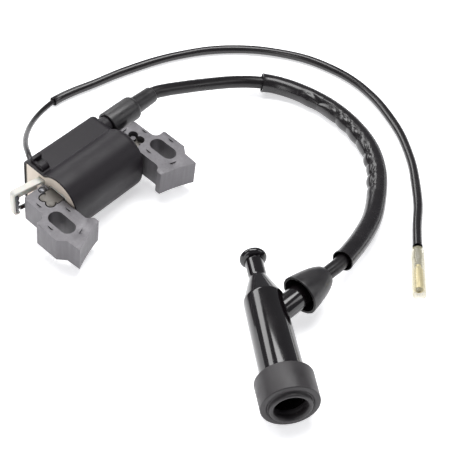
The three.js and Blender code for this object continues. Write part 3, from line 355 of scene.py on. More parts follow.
def rounded_block(low, high, radius, steps=5):
    """A block whose points are a cube grid's, each pulled onto a rounded corner of the given radius.

    A point is moved to its nearest place on the inner block, then out by the radius along the line between.
    """
    low, high = np.asarray(low, float), np.asarray(high, float)
    radius = min(radius, float((high - low).min()) / 2 * 0.999)
    edge = np.linspace(0, 1, 2 * steps - 1)
    u, v = np.meshgrid(edge, edge, indexing="ij")
    one, zero = np.ones_like(u), np.zeros_like(u)
    sheets = [(zero, u, v), (one, v, u), (v, zero, u), (u, one, v), (u, v, zero), (v, u, one)]
    points = np.concatenate([np.stack(s, -1).reshape(-1, 3) for s in sheets])
    size = high - low
    share = np.clip(points, 0, 1)
    near = np.minimum(share * 2 * radius, radius)
    far = np.maximum(size - (1 - share) * 2 * radius, size - radius)
    squeezed = np.where(share < 0.5, near, far)
    place = low + np.where(share == 0.5, size / 2, squeezed)
    inner = np.clip(place, low + radius, high - radius)
    away = place - inner
    gap = np.linalg.norm(away, axis=1, keepdims=True)
    place = inner + away / np.maximum(gap, 1e-12) * radius * (gap > 1e-12)
    count = len(edge)
    quads = np.concatenate([
        grid_faces(count, count, False, False) + k * count * count for k in range(6)
    ])
    centre = place.mean(0)
    mids = place[quads].mean(1)
    normal = np.cross(place[quads[:, 2]] - place[quads[:, 0]], place[quads[:, 3]] - place[quads[:, 1]])
    turn = ((mids - centre) * normal).sum(1) < 0
    quads[turn] = quads[turn][:, ::-1]
    return place, quads


# ---------------------------------------------------------------- materials


def group(name, inputs, outputs):
    """An empty shader node group with float inputs and named outputs, with its input and output nodes."""
    made = bpy.data.node_groups.new(name, "ShaderNodeTree")
    for label, default in inputs:
        socket = made.interface.new_socket(label, in_out="INPUT", socket_type="NodeSocketFloat")
        socket.default_value = default
    for label in outputs:
        made.interface.new_socket(label, in_out="OUTPUT", socket_type="NodeSocketFloat")
    return made, made.nodes.new("NodeGroupInput"), made.nodes.new("NodeGroupOutput")


def node(tree, kind, **values):
    """A node with its properties set by name and its sockets set by label."""
    made = tree.nodes.new(kind)
    for key, value in values.items():
        if key in made.inputs:
            made.inputs[key].default_value = value
        else:
            setattr(made, key, value)
    return made


def wire(tree, *pairs):
    """Links nodes: each pair is a node and its output's label, then a node and its input's label or number."""
    for source, label, target, into in pairs:
        tree.links.new(source.outputs[label], target.inputs[into])


def grain_group():
    """Moulded grain: fine noise for bump and a slower noise for patches."""
    tree, inlet, outlet = group("Moulded grain", [("Scale", 900), ("Patch Scale", 60)], ["Height", "Patches"])
    place = node(tree, "ShaderNodeTexCoord")
    fine = node(tree, "ShaderNodeTexNoise", Detail=4, Roughness=0.6)
    slow = node(tree, "ShaderNodeTexNoise", Detail=5, Roughness=0.55)
    wire(
        tree, (place, "Object", fine, "Vector"), (place, "Object", slow, "Vector"),
        (inlet, "Scale", fine, "Scale"), (inlet, "Patch Scale", slow, "Scale"), (fine, "Fac", outlet, "Height"),
        (slow, "Fac", outlet, "Patches"),
    )
    return tree


def scuff_group():
    """Handling marks: thin lines where a stretched cell pattern and a noise both peak."""
    tree, inlet, outlet = group("Handling marks", [("Scale", 260), ("Cover", 0.6)], ["Mask"])
    place = node(tree, "ShaderNodeTexCoord")
    turn = node(tree, "ShaderNodeMapping", Rotation=(0.5, 0.3, 0.9), Scale=(1, 0.18, 1))
    cells = node(tree, "ShaderNodeTexVoronoi", feature="DISTANCE_TO_EDGE")
    patch = node(tree, "ShaderNodeTexNoise", Scale=95, Detail=3)
    line = node(tree, "ShaderNodeMapRange", **{"From Min": 0.0, "From Max": 0.035, "To Min": 1.0, "To Max": 0.0})
    where = node(tree, "ShaderNodeMapRange", **{"From Max": 0.75})
    both = node(tree, "ShaderNodeMath", operation="MULTIPLY")
    wire(
        tree, (place, "Object", turn, "Vector"), (turn, "Vector", cells, "Vector"),
        (inlet, "Scale", cells, "Scale"), (place, "Object", patch, "Vector"),
        (cells, "Distance", line, "Value"), (patch, "Fac", where, "Value"), (inlet, "Cover", where, "From Min"),
        (line, "Result", both, 0), (where, "Result", both, 1), (both, "Value", outlet, "Mask"),
    )
    return tree


def streak_group():
    """Shear streaks and layer lines of a stamped stack: noise drawn out along Z and fine bands across it."""
    tree, inlet, outlet = group("Stamped stack", [("Streaks", 700), ("Layers", 2000)], ["Streak", "Layer"])
    place = node(tree, "ShaderNodeTexCoord")
    untilt = node(tree, "ShaderNodeMapping", Rotation=(-TILT, 0, 0))
    thin = node(tree, "ShaderNodeMapping", Scale=(1, 1, 0.06))
    noise = node(tree, "ShaderNodeTexNoise", Detail=3, Roughness=0.7)
    flat = node(tree, "ShaderNodeMapping", Scale=(0.02, 0.02, 1))
    bands = node(tree, "ShaderNodeTexNoise", Detail=2)
    wire(
        tree, (place, "Object", untilt, "Vector"), (untilt, "Vector", thin, "Vector"),
        (untilt, "Vector", flat, "Vector"), (thin, "Vector", noise, "Vector"),
        (flat, "Vector", bands, "Vector"), (inlet, "Streaks", noise, "Scale"),
        (inlet, "Layers", bands, "Scale"), (noise, "Fac", outlet, "Streak"), (bands, "Fac", outlet, "Layer"),
    )
    return tree


GROUPS = {}


def shared(name):
    """The shared node group of that name, built once."""
    makers = {"grain": grain_group, "scuffs": scuff_group, "stack": streak_group}
    if name not in GROUPS:
        GROUPS[name] = makers[name]()
    return GROUPS[name]


def use_group(tree, name, **values):
    """A node that holds a shared group, with its inputs set."""
    made = tree.nodes.new("ShaderNodeGroup")
    made.node_tree = shared(name)
    for key, value in values.items():
        made.inputs[key.replace("_", " ")].default_value = value
    return made


def spread(colour, by):
    """A colour made lighter or darker by a factor."""
    return (*[min(1.0, c * by) for c in colour], 1)


def mixed(tree, mask, first, second):
    """A colour between two, by a mask."""
    ramp = tree.nodes.new("ShaderNodeMix")
    ramp.data_type = "RGBA"
    colours = [s for s in ramp.inputs if s.type == "RGBA"]
    tree.links.new(mask, ramp.inputs[0])
    for socket, value in zip(colours, (first, second)):
        if isinstance(value, bpy.types.NodeSocket):
            tree.links.new(value, socket)
        else:
            socket.default_value = value
    return next(s for s in ramp.outputs if s.type == "RGBA")


def ranged(tree, value, low, high, from_low=0.3, from_high=0.7):
    """A value carried from one range to another."""
    made = node(
        tree, "ShaderNodeMapRange", **{"From Min": from_low, "From Max": from_high, "To Min": low, "To Max": high}
    )
    tree.links.new(value, made.inputs["Value"])
    return made.outputs["Result"]


def finish_of(
    name, colour, rough=(0.4, 0.6), vary=0.12, grain=900, patch=60, bump=0.00002, metallic=0.0,
    scuffs=0.0, scuff_scale=260, scuff_colour=None, coat=0.0, coat_rough=0.1, specular=0.5, stack=0.0,
    emission=0.0, subsurface=0.0,
):
    """A material: base colour varied in patches, grained bump, roughness that follows the patches, and marks.

    stack above 0 adds the streaks and layer lines of stamped steel.
    """
    made = bpy.data.materials.new(name)
    made.use_nodes = True
    tree = made.node_tree
    shader = tree.nodes["Principled BSDF"]
    plain = {
        "Metallic": metallic, "Specular IOR Level": specular, "Coat Weight": coat, "Coat Roughness": coat_rough,
        "Subsurface Weight": subsurface, "Subsurface Scale": 0.001,
    }
    for label, value in plain.items():
        shader.inputs[label].default_value = value
    texture = use_group(tree, "grain", Scale=grain, Patch_Scale=patch)
    patches = texture.outputs["Patches"]
    tone = mixed(tree, ranged(tree, patches, 0, 1), spread(colour, 1 - vary), spread(colour, 1 + vary))
    roughness = ranged(tree, patches, *rough)
    height = texture.outputs["Height"]
    if stack:
        layers = use_group(tree, "stack")
        streak = ranged(tree, layers.outputs["Streak"], 0, 1)
        layer = ranged(tree, layers.outputs["Layer"], 0, 1)
        light = mixed(tree, layer, spread(colour, 1 + 0.4 * stack), spread(colour, 1 + stack))
        tone = mixed(tree, streak, mixed(tree, patches, spread(colour, 1 - stack), tone), light)
        blend = node(tree, "ShaderNodeMath", operation="ADD")
        tree.links.new(height, blend.inputs[0])
        tree.links.new(layers.outputs["Streak"], blend.inputs[1])
        height = blend.outputs["Value"]
    if scuffs:
        marks = use_group(tree, "scuffs", Scale=scuff_scale, Cover=1 - scuffs)
        tone = mixed(tree, marks.outputs["Mask"], tone, (*(scuff_colour or linear(150, 148, 150)), 1))
    bumps = node(tree, "ShaderNodeBump", Strength=0.6, Distance=bump)
    tree.links.new(height, bumps.inputs["Height"])
    tree.links.new(bumps.outputs["Normal"], shader.inputs["Normal"])
    tree.links.new(tone, shader.inputs["Base Color"])
    tree.links.new(roughness, shader.inputs["Roughness"])
    if emission:
        tree.links.new(tone, shader.inputs["Emission Color"])
        shader.inputs["Emission Strength"].default_value = emission
    return made


MATERIALS = {}


def materials():
    """Every finish of the object, built once from the settings."""
    if MATERIALS:
        return MATERIALS
    scene = bpy.context.scene
    case, core, leads, cap = scene.coil_housing, scene.coil_core, scene.coil_leads, scene.coil_cap
    MATERIALS.update(
        housing=finish_of(
            "Moulded housing", tuple(case.plastic), (0.38, 0.54), 0.1, 2600, 70, 0.00003, scuffs=0.25,
            scuff_scale=420, scuff_colour=linear(56, 52, 57), specular=0.28,
        ),
        resin=finish_of("Cast fill", tuple(case.resin), (0.5, 0.65), 0.03, 500, 120, 0.00003, specular=0.3),
        # painted shade: the fill's edge is coloured dark olive to stand in for the shade that the proud rim casts
        # on it
        meniscus=finish_of("Fill edge painted shade", linear(84, 80, 66), (0.3, 0.45), 0.25, 500, 300, 0.00002),
        steel=finish_of(
            "Stamped steel", tuple(core.steel), (0.42, 0.55), 0.08, 3200, 220, 0.000012, metallic=0.35,
            scuffs=0.28, scuff_scale=300, scuff_colour=linear(160, 158, 160), stack=0.2, specular=0.4,
        ),
        bar=finish_of(
            "Varnished steel", tuple(core.bar), (0.4, 0.55), 0.14, 2400, 260, 0.000012, metallic=0.3, scuffs=0.3,
            scuff_colour=linear(120, 112, 104), stack=0.15,
        ),
        tin=finish_of("Tinned metal", linear(104, 104, 108), (0.25, 0.4), 0.25, 1500, 500, 0.00004, metallic=0.6),
        brass=finish_of(
            "Brass", linear(196, 182, 140), (0.25, 0.38), 0.1, 1800, 300, 0.00001, metallic=0.6, scuffs=0.3
        ),
        copper=finish_of(
            "Wound copper", linear(186, 112, 66), (0.3, 0.42), 0.12, 2500, 300, 0.00004, metallic=0.85
        ),
        nylon=finish_of(
            "Natural nylon", linear(206, 205, 198), (0.35, 0.5), 0.04, 1500, 260, 0.00002, subsurface=0.15
        ),
        rubber=finish_of(
            "Moulded rubber", tuple(cap.rubber), (0.26, 0.46), 0.22, 2200, 150, 0.00003, scuffs=0.3,
            scuff_scale=350, scuff_colour=linear(84, 82, 84),
        ),
        seal=finish_of(
            "Seal rubber", linear(42, 39, 41), (0.36, 0.56), 0.2, 1800, 170, 0.00004, scuffs=0.3,
            scuff_colour=linear(88, 85, 86),
        ),
        phenolic=finish_of(
            "Polished phenolic", tuple(cap.phenolic), (0.09, 0.16), 0.1, 700, 90, 0.000015, coat=0.3,
            coat_rough=0.05,
        ),
        jacket=finish_of(
            "Lead jacket", tuple(leads.jacket), (0.25, 0.36), 0.1, 1800, 160, 0.00001, specular=0.38,
        ),
        sleeve=finish_of(
            "Thin sleeving", tuple(leads.sleeve), (0.2, 0.3), 0.12, 1200, 140, 0.000008, coat=0.1, coat_rough=0.2
        ),
        board=finish_of("Circuit board", linear(52, 96, 62), (0.35, 0.5), 0.1, 2000, 400, 0.00001),
        ceramic=finish_of("Ceramic", linear(214, 204, 186), (0.5, 0.65), 0.06, 1500, 300, 0.00002),
        component=finish_of("Moulded component", linear(22, 21, 22), (0.4, 0.5), 0.1, 2500, 300, 0.00001),
        clear=clear_tube(),
    )
    return MATERIALS


def clear_tube():
    """Clear, faintly yellow tube: see-through by alpha, with a gloss that strengthens towards its edges."""
    made = bpy.data.materials.new("Clear tube")
    made.use_nodes = True
    tree = made.node_tree
    shader = tree.nodes["Principled BSDF"]
    shader.inputs["Base Color"].default_value = (*linear(214, 208, 178), 1)
    shader.inputs["Roughness"].default_value = 0.12
    texture = use_group(tree, "grain", Scale=900, Patch_Scale=250)
    edge = node(tree, "ShaderNodeLayerWeight", Blend=0.35)
    veil = ranged(tree, edge.outputs["Facing"], 0.1, 0.75, 0.1, 0.95)
    bumps = node(tree, "ShaderNodeBump", Strength=0.4, Distance=0.00003)
    tree.links.new(texture.outputs["Patches"], bumps.inputs["Height"])
    tree.links.new(bumps.outputs["Normal"], shader.inputs["Normal"])
    tree.links.new(veil, shader.inputs["Alpha"])
    return made


# ---------------------------------------------------------------- the pieces' shapes

STACK = 12.8
BODY = dict(
    y=12.4, radius=11.8, spread=0.22 * STACK, mid=-STACK / 2, top=4.4, back=33.0, corner=2.2, crease=2.0
)
NECK_LINE = (0, 28, -2.2)
SLEEVE_WALL, WIRE_SLEEVE_WALL = 0.42 * MM, 0.4 * MM
LEAD_POINTS, WIRE_POINTS, SLEEVE_POINTS = 420, 520, 2400


def housing_outline(inset):
    """The housing's section in the coil's y and z: two round ends one above the other, joined to a box behind.

    Six arcs with a fixed number of points each, so that outlines of different insets match point for point.
    """
    r = BODY["radius"] - inset
    corner = max(BODY["corner"] - inset, 0.35)
    crease = BODY["crease"] + inset
    top, back = BODY["top"] - inset, BODY["back"] - inset
    high, low = BODY["mid"] + BODY["spread"], BODY["mid"] - BODY["spread"]
    bottom = low - r
    rise = top + crease - high
    reach = math.sqrt((r + crease) ** 2 - rise**2)
    angle = math.atan2(rise, reach)
    q = math.pi / 2

    def arc(y, z, radius, start, end, count):
        """Points on a circle between two angles, both ends included."""
        turn = np.linspace(start, end, count)
        return np.stack([y + radius * np.cos(turn), z + radius * np.sin(turn)], 1)

    parts = [
        arc(back - corner, bottom + corner, corner, -q, 0, 9),
        arc(back - corner, top - corner, corner, 0, q, 9),
        arc(BODY["y"] + reach, top + crease, crease, -q, angle - math.pi, 9),
        arc(BODY["y"], high, r, angle, math.pi, 33),
        arc(BODY["y"], low, r, math.pi, 3 * q, 25),
    ]
    return np.concatenate(parts)


def housing_row(x, inset):
    """The section at one station along the coil."""
    outline = housing_outline(inset)
    return to_row(np.column_stack([np.full(len(outline), x), outline]))


def housing_shell(wall, round_end):
    """Sections carried along X: in from the cavity's end, out over the rim, along, and in over the rounded end."""
    left, right, floor = -21.0, 20.0, -17.0
    turn = np.linspace(0, math.pi / 2, 7)
    rows = [
        (floor, wall), (left + 0.25, wall), (left + 0.08, wall - 0.08), (left, wall - 0.25), (left, 0.25),
        (left + 0.08, 0.08), (left + 0.25, 0.0),
    ]
    along = (left + 0.6, *np.linspace(left + 2, right - round_end - 1, 12), right - round_end - 0.3)
    rows += [(x, 0.0) for x in along]
    rows += [(right - round_end + round_end * math.sin(t), round_end * (1 - math.cos(t))) for t in turn]
    stack = [housing_row(x, inset) for x, inset in rows]
    heart = to_row([[0, 17.0, BODY["mid"]]])[0]
    centre = np.array([[floor * MM, *heart[1:]]]), np.array([[right * MM, *heart[1:]]])
    first = np.repeat(centre[0], stack[0].shape[0], 0)
    last = np.repeat(centre[1], stack[0].shape[0], 0)
    return np.stack([first, *stack, last])


# ---------------------------------------------------------------- operators


def cap_axis(angle):
    """A level direction at an angle from +X."""
    return np.array([math.cos(angle), math.sin(angle), 0.0])


class COIL_OT_stage(bpy.types.Operator):
    """Adds the camera, the pale floor and the soft lamps"""

    bl_idname = "coil.stage"
    bl_label = "Camera, floor and lamps"

    def execute(self, context):
        stage = context.scene.coil_stage
        data = bpy.data.cameras.new("Camera")
        data.lens = stage.focal
        data.sensor_width = 36
        data.clip_start = 0.01
        camera = bpy.data.objects.new("Camera", data)
        context.scene.collection.objects.link(camera)
        az, el, roll = stage.azimuth, stage.elevation, stage.roll
        ahead = Vector((-math.sin(az) * math.cos(el), math.cos(az) * math.cos(el), -math.sin(el)))
        right = Vector((math.cos(az), math.sin(az), 0))
        up = right.cross(ahead)
        level = Matrix((right, up, -ahead)).transposed()
        aim = (level @ Matrix.Rotation(roll, 3, "Z")).to_4x4()
        camera.matrix_world = Matrix.Translation(stage.position) @ aim
        context.scene.camera = camera
        self.floor(context, stage)
        self.lamps(context)
        return {"FINISHED"}

    def floor(self, context, stage):
        """One pale square under everything."""
        mesh = bpy.data.meshes.new("Floor")
        side = 4.0
        corners = [(-side, -side, 0), (side, -side, 0), (side, side, 0), (-side, side, 0)]
        mesh.from_pydata([(x, y, -0.0001) for x, y, _ in corners], [], [(0, 1, 2, 3)])
        mesh.materials.append(finish_of(
            "Pale floor", tuple(stage.floor), (0.7, 0.8), 0.002, 50, 4, 0.0, specular=0.1, emission=0.55
        ))
        ground = bpy.data.objects.new("Floor", mesh)
        context.scene.collection.objects.link(ground)

    def lamps(self, context):
        """A dim room, and four area lamps that face the coil: name, place, aim, width, height and watts."""
        world = bpy.data.worlds.new("Soft room")
        world.use_nodes = True
        back = world.node_tree.nodes["Background"]
        back.inputs["Color"].default_value = (0.93, 0.95, 1.0, 1)
        back.inputs["Strength"].default_value = 0.26
        context.scene.world = world
        context.scene.view_settings.view_transform = "Standard"
        lamps = [
            ("Overhead", (0.25, 0.1, 0.9), (0.05, -0.03, 0), 0.8, 0.45, 8.5),
            ("Back", (0.1, 0.75, 0.55), (0.03, -0.03, 0), 0.9, 0.3, 4.5),
            ("Left strip", (-0.75, -0.1, 0.35), (0, -0.05, 0.01), 0.2, 0.8, 1.6),
            ("Front right", (0.55, -0.7, 0.5), (0.03, -0.05, 0), 0.3, 0.5, 1.2),
        ]
        for name, place, aim, wide, tall, power in lamps:
            data = bpy.data.lights.new(name, "AREA")
            data.shape = "RECTANGLE"
            data.size, data.size_y = wide, tall
            data.energy = power
            lamp = bpy.data.objects.new(name, data)
            context.scene.collection.objects.link(lamp)
            way = Vector(aim) - Vector(place)
            lamp.matrix_world = Matrix.Translation(place) @ way.to_track_quat("-Z", "Y").to_matrix().to_4x4()


class COIL_OT_leads(bpy.types.Operator):
    """Adds the high-tension lead, the stop wire and the loose sleeves on them"""

    bl_idname = "coil.leads"
    bl_label = "Leads and sleeves"

    def execute(self, context):
        leads, look = context.scene.coil_leads, materials()
        lead_path = smooth_route(LEAD_ROUTE, LEAD_POINTS)
        wire_path = smooth_route(WIRE_ROUTE, WIRE_POINTS)
        piece(
            "high_tension_lead", [(rod(lead_path, leads.lead_radius, 40), False)], look["jacket"],
            "coil_unit", "cable_jacket", ["ht_lead"],
        )
        self.loose_sleeve(lead_path, leads, look)
        piece(
            "stop_lead", [(rod(wire_path, leads.wire_radius), False)], look["jacket"],
            "coil_unit", "cable_jacket", ["stop_wire"],
        )
        self.wire_sleeve(wire_path, look)
        return {"FINISHED"}

    def loose_sleeve(self, lead_path, leads, look):
        """A tube whose wall folds on the inside of the bend.

        Under a bell over the inner side the outer radius follows the size of a slanting sine, which gives round
        lumps with sharp creases between them. A groove arches over each lump, and the ends open slightly.
        """
        share = np.interp(np.linspace(0, 1, 520), (0, 0.06, 0.86, 1), (0, 0.08, 0.7, 1))[:, None]
        path = stretch(lead_path, 0.33, 0.885, SLEEVE_POINTS)
        even = np.linspace(0, 1, SLEEVE_POINTS)
        path = np.stack([np.interp(share[:, 0], even, path[:, k]) for k in range(3)], 1)
        angle = np.linspace(0, 2 * math.pi, 96, endpoint=False)[None, :]
        off = np.angle(np.exp(1j * (angle - (math.pi - 0.25))))
        start, end = 0.13, 0.7
        fade = np.clip((share - start) / 0.05, 0, 1) * np.clip((end - share) / 0.05, 0, 1)
        travel = np.clip((share - start) / (end - start), 0, 1)
        pace = 0.62 * travel + 0.38 * travel**1.8 + 0.012 * np.sin(17 * travel)
        phase = 2 * math.pi * leads.folds * pace
        bell = np.exp(-np.abs(off / 1.05) ** 4)
        lump = np.abs(np.sin((phase + 0.35 * off) / 2)) ** 0.8
        size = 0.85 + 0.2 * np.sin(0.55 * phase + 0.8)
        arch = np.abs(np.sin((phase - 0.3) / 2))
        ridge = off + 0.45 + 0.5 * arch
        groove = np.exp(-((ridge / 0.24) ** 2))
        fold = fade * (bell * (1.05 * lump * size - 0.6) - 0.35 * groove)
        opening = 0.35 * np.exp(-share / 0.012) + 0.3 * np.exp(-(1 - share) / 0.02)
        outer = (4.35 + opening + 0.1 * fade + np.clip(fold, -0.8, 0.7)) * MM
        return piece(
            "loose_lead_sleeve", [(walled(path, outer, outer - SLEEVE_WALL), True)], look["sleeve"],
            "coil_unit", "black_sleeving", ["lead_sleeve"], sharp=60,
        )

    def wire_sleeve(self, wire_path, look):
        """A close tube whose radius wanders slightly and widens a little at both ends."""
        path = stretch(wire_path, 0.212, 0.985, 620)
        share = np.linspace(0, 1, len(path))[:, None]
        angle = np.linspace(0, 2 * math.pi, 40, endpoint=False)[None, :]
        wander = 0.05 * np.sin(37 * share + 2 * angle) + 0.04 * np.sin(71 * share - angle)
        ends = 0.12 * (np.exp(-share / 0.006) + np.exp(-(1 - share) / 0.006))
        outer = (2.05 + wander + ends) * MM
        return piece(
            "stop_lead_sleeve", [(walled(path, outer, outer - WIRE_SLEEVE_WALL), True)], look["sleeve"],
            "coil_unit", "black_sleeving", ["stop_wire_sleeve"], sharp=60,
        )


class COIL_OT_housing(bpy.types.Operator):
    """Adds the moulded housing with its neck and clip, and the fill's edge, coloured with painted shade"""

    bl_idname = "coil.housing"
    bl_label = "Housing and fill"

    def execute(self, context):
        case, look = context.scene.coil_housing, materials()
        wall, round_end = case.wall / MM, case.round_end / MM
        neck = turned(
            soften([(17, 3.4), (17, 4.4), (32, 4.4), (32, 3.4)], 0.3, closed=True),
            to_row([NECK_LINE])[0], (1, 0, 0),
        )
        boss = turned(
            [(-19.6, 0), *soften([(-19.6, 0), (-19.6, 2.2), (-15.6, 2.2), (-15.6, 0)], 0.35)[1:-1], (-15.6, 0)],
            to_row([[0, 24.7, 4.4]])[0], (1, 0, 0), segments=48,
        )
        piece(
            "housing_shell", [(housing_shell(wall, round_end), False), (neck, True), (boss, False)],
            look["housing"], "coil_unit", "housing", ["housing"], sharp=40,
        )
        blocks = [
            ((-19.4, 28.6, 3.6), (-14.4, 30.6, 6.8), 0.45),
            ((-19.4, 25.6, 3.6), (-17.9, 29.6, 5.6), 0.4),
            ((-17.8, 26.4, 3.9), (-14.8, 28.3, 4.62), 0.1),
        ]
        for number, (low, high, radius) in enumerate(blocks):
            points, quads = rounded_block(low, high, radius)
            from_arrays(
                f"wire_clip_{number + 1}", to_row(points), quads, look["housing" if number < 2 else "component"],
                "coil_unit", "housing",
            )
        self.fill_edge_painted_shade(look)
        repaint("potting", look["resin"])
        repaint("primary_bobbin", look["nylon"])
        return {"FINISHED"}

    def fill_edge_painted_shade(self, look):
        """A thin fillet of fill that climbs the rim, its dark olive colour painted shade where the rim shades the
        fill: sections at growing insets, falling away from the wall.
        """
        rows = [(-20.25, 0.95), (-20.62, 1.0), (-20.55, 1.25), (-20.44, 1.7), (-20.3, 2.2), (-20.25, 1.6)]
        grid = np.stack([housing_row(x, inset) for x, inset in rows])
        piece("fill_edge_painted_shade", [(grid, True)], look["meniscus"], "coil_unit", "potting_resin")


def repaint(name, *finishes):
    """Gives a CAD solid that is shown its finish."""
    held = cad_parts[name]
    held.data.materials.clear()
    for made in finishes:
        held.data.materials.append(made)


def broken_edges(name, new_name, material, width, body="coil_unit"):
    """A welded copy of a stamped solid whose sharp edges are broken by a narrow flat; it replaces the solid."""
    import bmesh

    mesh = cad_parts[name].data.copy()
    mesh.name = new_name
    mesh.materials.clear()
    work = bmesh.new()
    work.from_mesh(mesh)
    bmesh.ops.remove_doubles(work, verts=work.verts, dist=2e-6)
    bmesh.ops.dissolve_limit(work, angle_limit=math.radians(1.0), verts=work.verts, edges=work.edges)
    bmesh.ops.recalc_face_normals(work, faces=work.faces)
    sharp = [e for e in work.edges if e.is_manifold and e.calc_face_angle(0) > math.radians(40)]
    bmesh.ops.bevel(
        work, geom=sharp, offset=width, offset_type="OFFSET", segments=1, profile=0.5, affect="EDGES",
        clamp_overlap=True,
    )
    bmesh.ops.triangulate(work, faces=[f for f in work.faces if len(f.verts) > 4])
    work.to_mesh(mesh)
    work.free()
    mesh.polygons.foreach_set("use_smooth", np.ones(len(mesh.polygons), bool))
    mesh.set_sharp_from_angle(angle=math.radians(24))
    mesh.materials.append(material)
    made = bpy.data.objects.new(new_name, mesh)
    bpy.context.scene.collection.objects.link(made)
    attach(made, body)
    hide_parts(name)
    return made


class COIL_OT_core(bpy.types.Operator):
    """Adds the stamped legs, the middle bar and the earth pin"""

    bl_idname = "coil.core"
    bl_label = "Core"

    def execute(self, context):
        edge, look = context.scene.coil_core.edge, materials()
        broken_edges("left_leg", "stamped_leg_left", look["steel"], edge)
        broken_edges("right_leg", "stamped_leg_right", look["steel"], edge)
        broken_edges("centre_core", "middle_bar", look["bar"], edge * 0.7)
        rise = np.linspace(0, math.pi / 2, 7)
        dome = [(-0.25 + 0.75 * math.sin(t), 1.5 * math.cos(t) ** 0.8) for t in rise[:-1]]
        pin = turned(
            [(-12.5, 0), (-12.5, 1.5), *dome, (0.5, 0)], to_row([[-24, 18.1, 0]])[0], COIL_TURN[:, 2], up=(0, 1, 0),
            segments=40, ripple=lambda station, angle: 0.05 * np.sin(3 * angle + 1) * (station > -1),
        )
        piece("earth_stake", [(pin, False)], look["tin"], "coil_unit", "tinned_metal", ["earth_pin"])
        repaint("core_rivet", look["steel"])
        return {"FINISHED"}


class COIL_OT_guard(bpy.types.Operator):
    """Adds the white guard with the soldered earth lug inside it"""

    bl_idname = "coil.guard"
    bl_label = "Wire guard"

    def execute(self, context):
        look = materials()
        turn = math.radians(-10)
        spin = np.array([[math.cos(turn), -math.sin(turn), 0], [math.sin(turn), math.cos(turn), 0], [0, 0, 1]])

        def place(points):
            """The guard's own points, turned a little and set at its foot on the coil."""
            return to_row(np.asarray(points) @ spin.T + np.array([-20.8, 20.8, 0]))

        strap = self.strap()
        back = rounded_block((-14.2, 2.0, -5.0), (-1.8, 3.2, 0.4), 0.3)
        root = rounded_block((-1.2, 0.0, -1.4), (2.4, 3.2, 1.0), 0.3)
        nylon = look["nylon"], "coil_unit", "natural_nylon"
        piece("wire_guard_strap", [(place(strap), False)], *nylon, ["wire_guard"], sharp=50)
        for number, (points, quads) in enumerate((back, root)):
            from_arrays(f"wire_guard_web_{number + 1}", place(points), quads, *nylon)
        plate, quads = rounded_block((-13.4, 0.05, -11), (-12.3, 1.7, -1.1), 0.2)
        from_arrays("earth_tag", place(plate), quads, look["tin"], "coil_unit", "tinned_metal", ["earth_lug"])
        for number, z in enumerate((-3.4, -6.2, -9)):
            piece(
                f"solder_bead_{number + 1}", [(place(self.bead((-12.3, 0.85, z), 0.95, number)), False)],
                look["tin"], "coil_unit", "tinned_metal", sharp=80,
            )
        repaint("earth_wire", look["jacket"])
        return {"FINISHED"}

    def strap(self):
        """A rounded rectangle carried along the guard's bent line: out, round, down, round and in."""
        length, top, bottom, sheet, bend = 14.9, 1.0, -12.8, 1.2, 1.9
        mid = sheet / 2
        q = np.linspace(0, math.pi / 2, 9)
        over = np.stack([-length + bend - (bend - mid) * np.sin(q), top - bend + (bend - mid) * np.cos(q)], 1)
        under = np.stack([-length + bend - (bend - mid) * np.cos(q), bottom + bend - (bend - mid) * np.sin(q)], 1)
        out = [(1.0, top - mid), (-4, top - mid), (-9, top - mid)]
        line = np.concatenate([out, over, under, [(-length + 3.2, bottom + mid)]])
        tangent = np.gradient(line, axis=0)
        tangent /= np.linalg.norm(tangent, axis=1, keepdims=True)
        normal = np.stack([-tangent[:, 1], tangent[:, 0]], 1)
        wide = 3.2
        section = soften([(0, -mid), (wide, -mid), (wide, mid), (0, mid)], 0.4, 5, closed=True)
        rows = np.empty((len(line), len(section), 3))
        rows[..., 0] = line[:, None, 0] + normal[:, None, 0] * section[None, :, 1]
        rows[..., 2] = line[:, None, 1] + normal[:, None, 1] * section[None, :, 1]
        rows[..., 1] = section[None, :, 0]
        first = np.repeat(rows[:1].mean(1, keepdims=True), len(section), 1)
        last = np.repeat(rows[-1:].mean(1, keepdims=True), len(section), 1)
        return np.concatenate([first, rows, last])

    def bead(self, centre, radius, seed):
        """A lumpy ball: a sphere whose radius varies by two sines round it."""
        polar = np.linspace(0, math.pi, 15)[:, None]
        round_ = np.linspace(0, 2 * math.pi, 24, endpoint=False)[None, :]
        r = radius * (1 + 0.08 * np.sin(3 * round_ + seed) * np.sin(polar) + 0.05 * np.cos(2 * polar + seed))
        level = r * np.sin(polar)
        tall = r * np.cos(polar) * np.ones_like(round_)
        return np.stack([level * np.cos(round_), level * np.sin(round_) * 0.85, tall], -1) + np.array(centre)


class COIL_OT_collar(bpy.types.Operator):
    """Adds the rubber collar over the lead's outlet"""

    bl_idname = "coil.collar"
    bl_label = "Lead collar"

    def execute(self, context):
        look = materials()
        outer = [
            (23.6, 4.7), (23.6, 5.65), (39.0, 5.65), (40.2, 5.0), (40.35, 4.22), (51.6, 3.8), (52, 3.5), (52, 3.27),
            (32.4, 3.27), (32.4, 4.7),
        ]
        softness = [0.2, 0.5, 0.7, 0.35, 0.3, 0.3, 0.2, 0.1, 0.1, 0.1]
        grid = turned(soften(outer, softness, 5, closed=True), to_row([NECK_LINE])[0], (1, 0, 0), segments=72)
        piece(
            "outlet_collar", [(grid, True)], look["rubber"], "coil_unit", "black_rubber", ["lead_collar"], sharp=50
        )
        return {"FINISHED"}


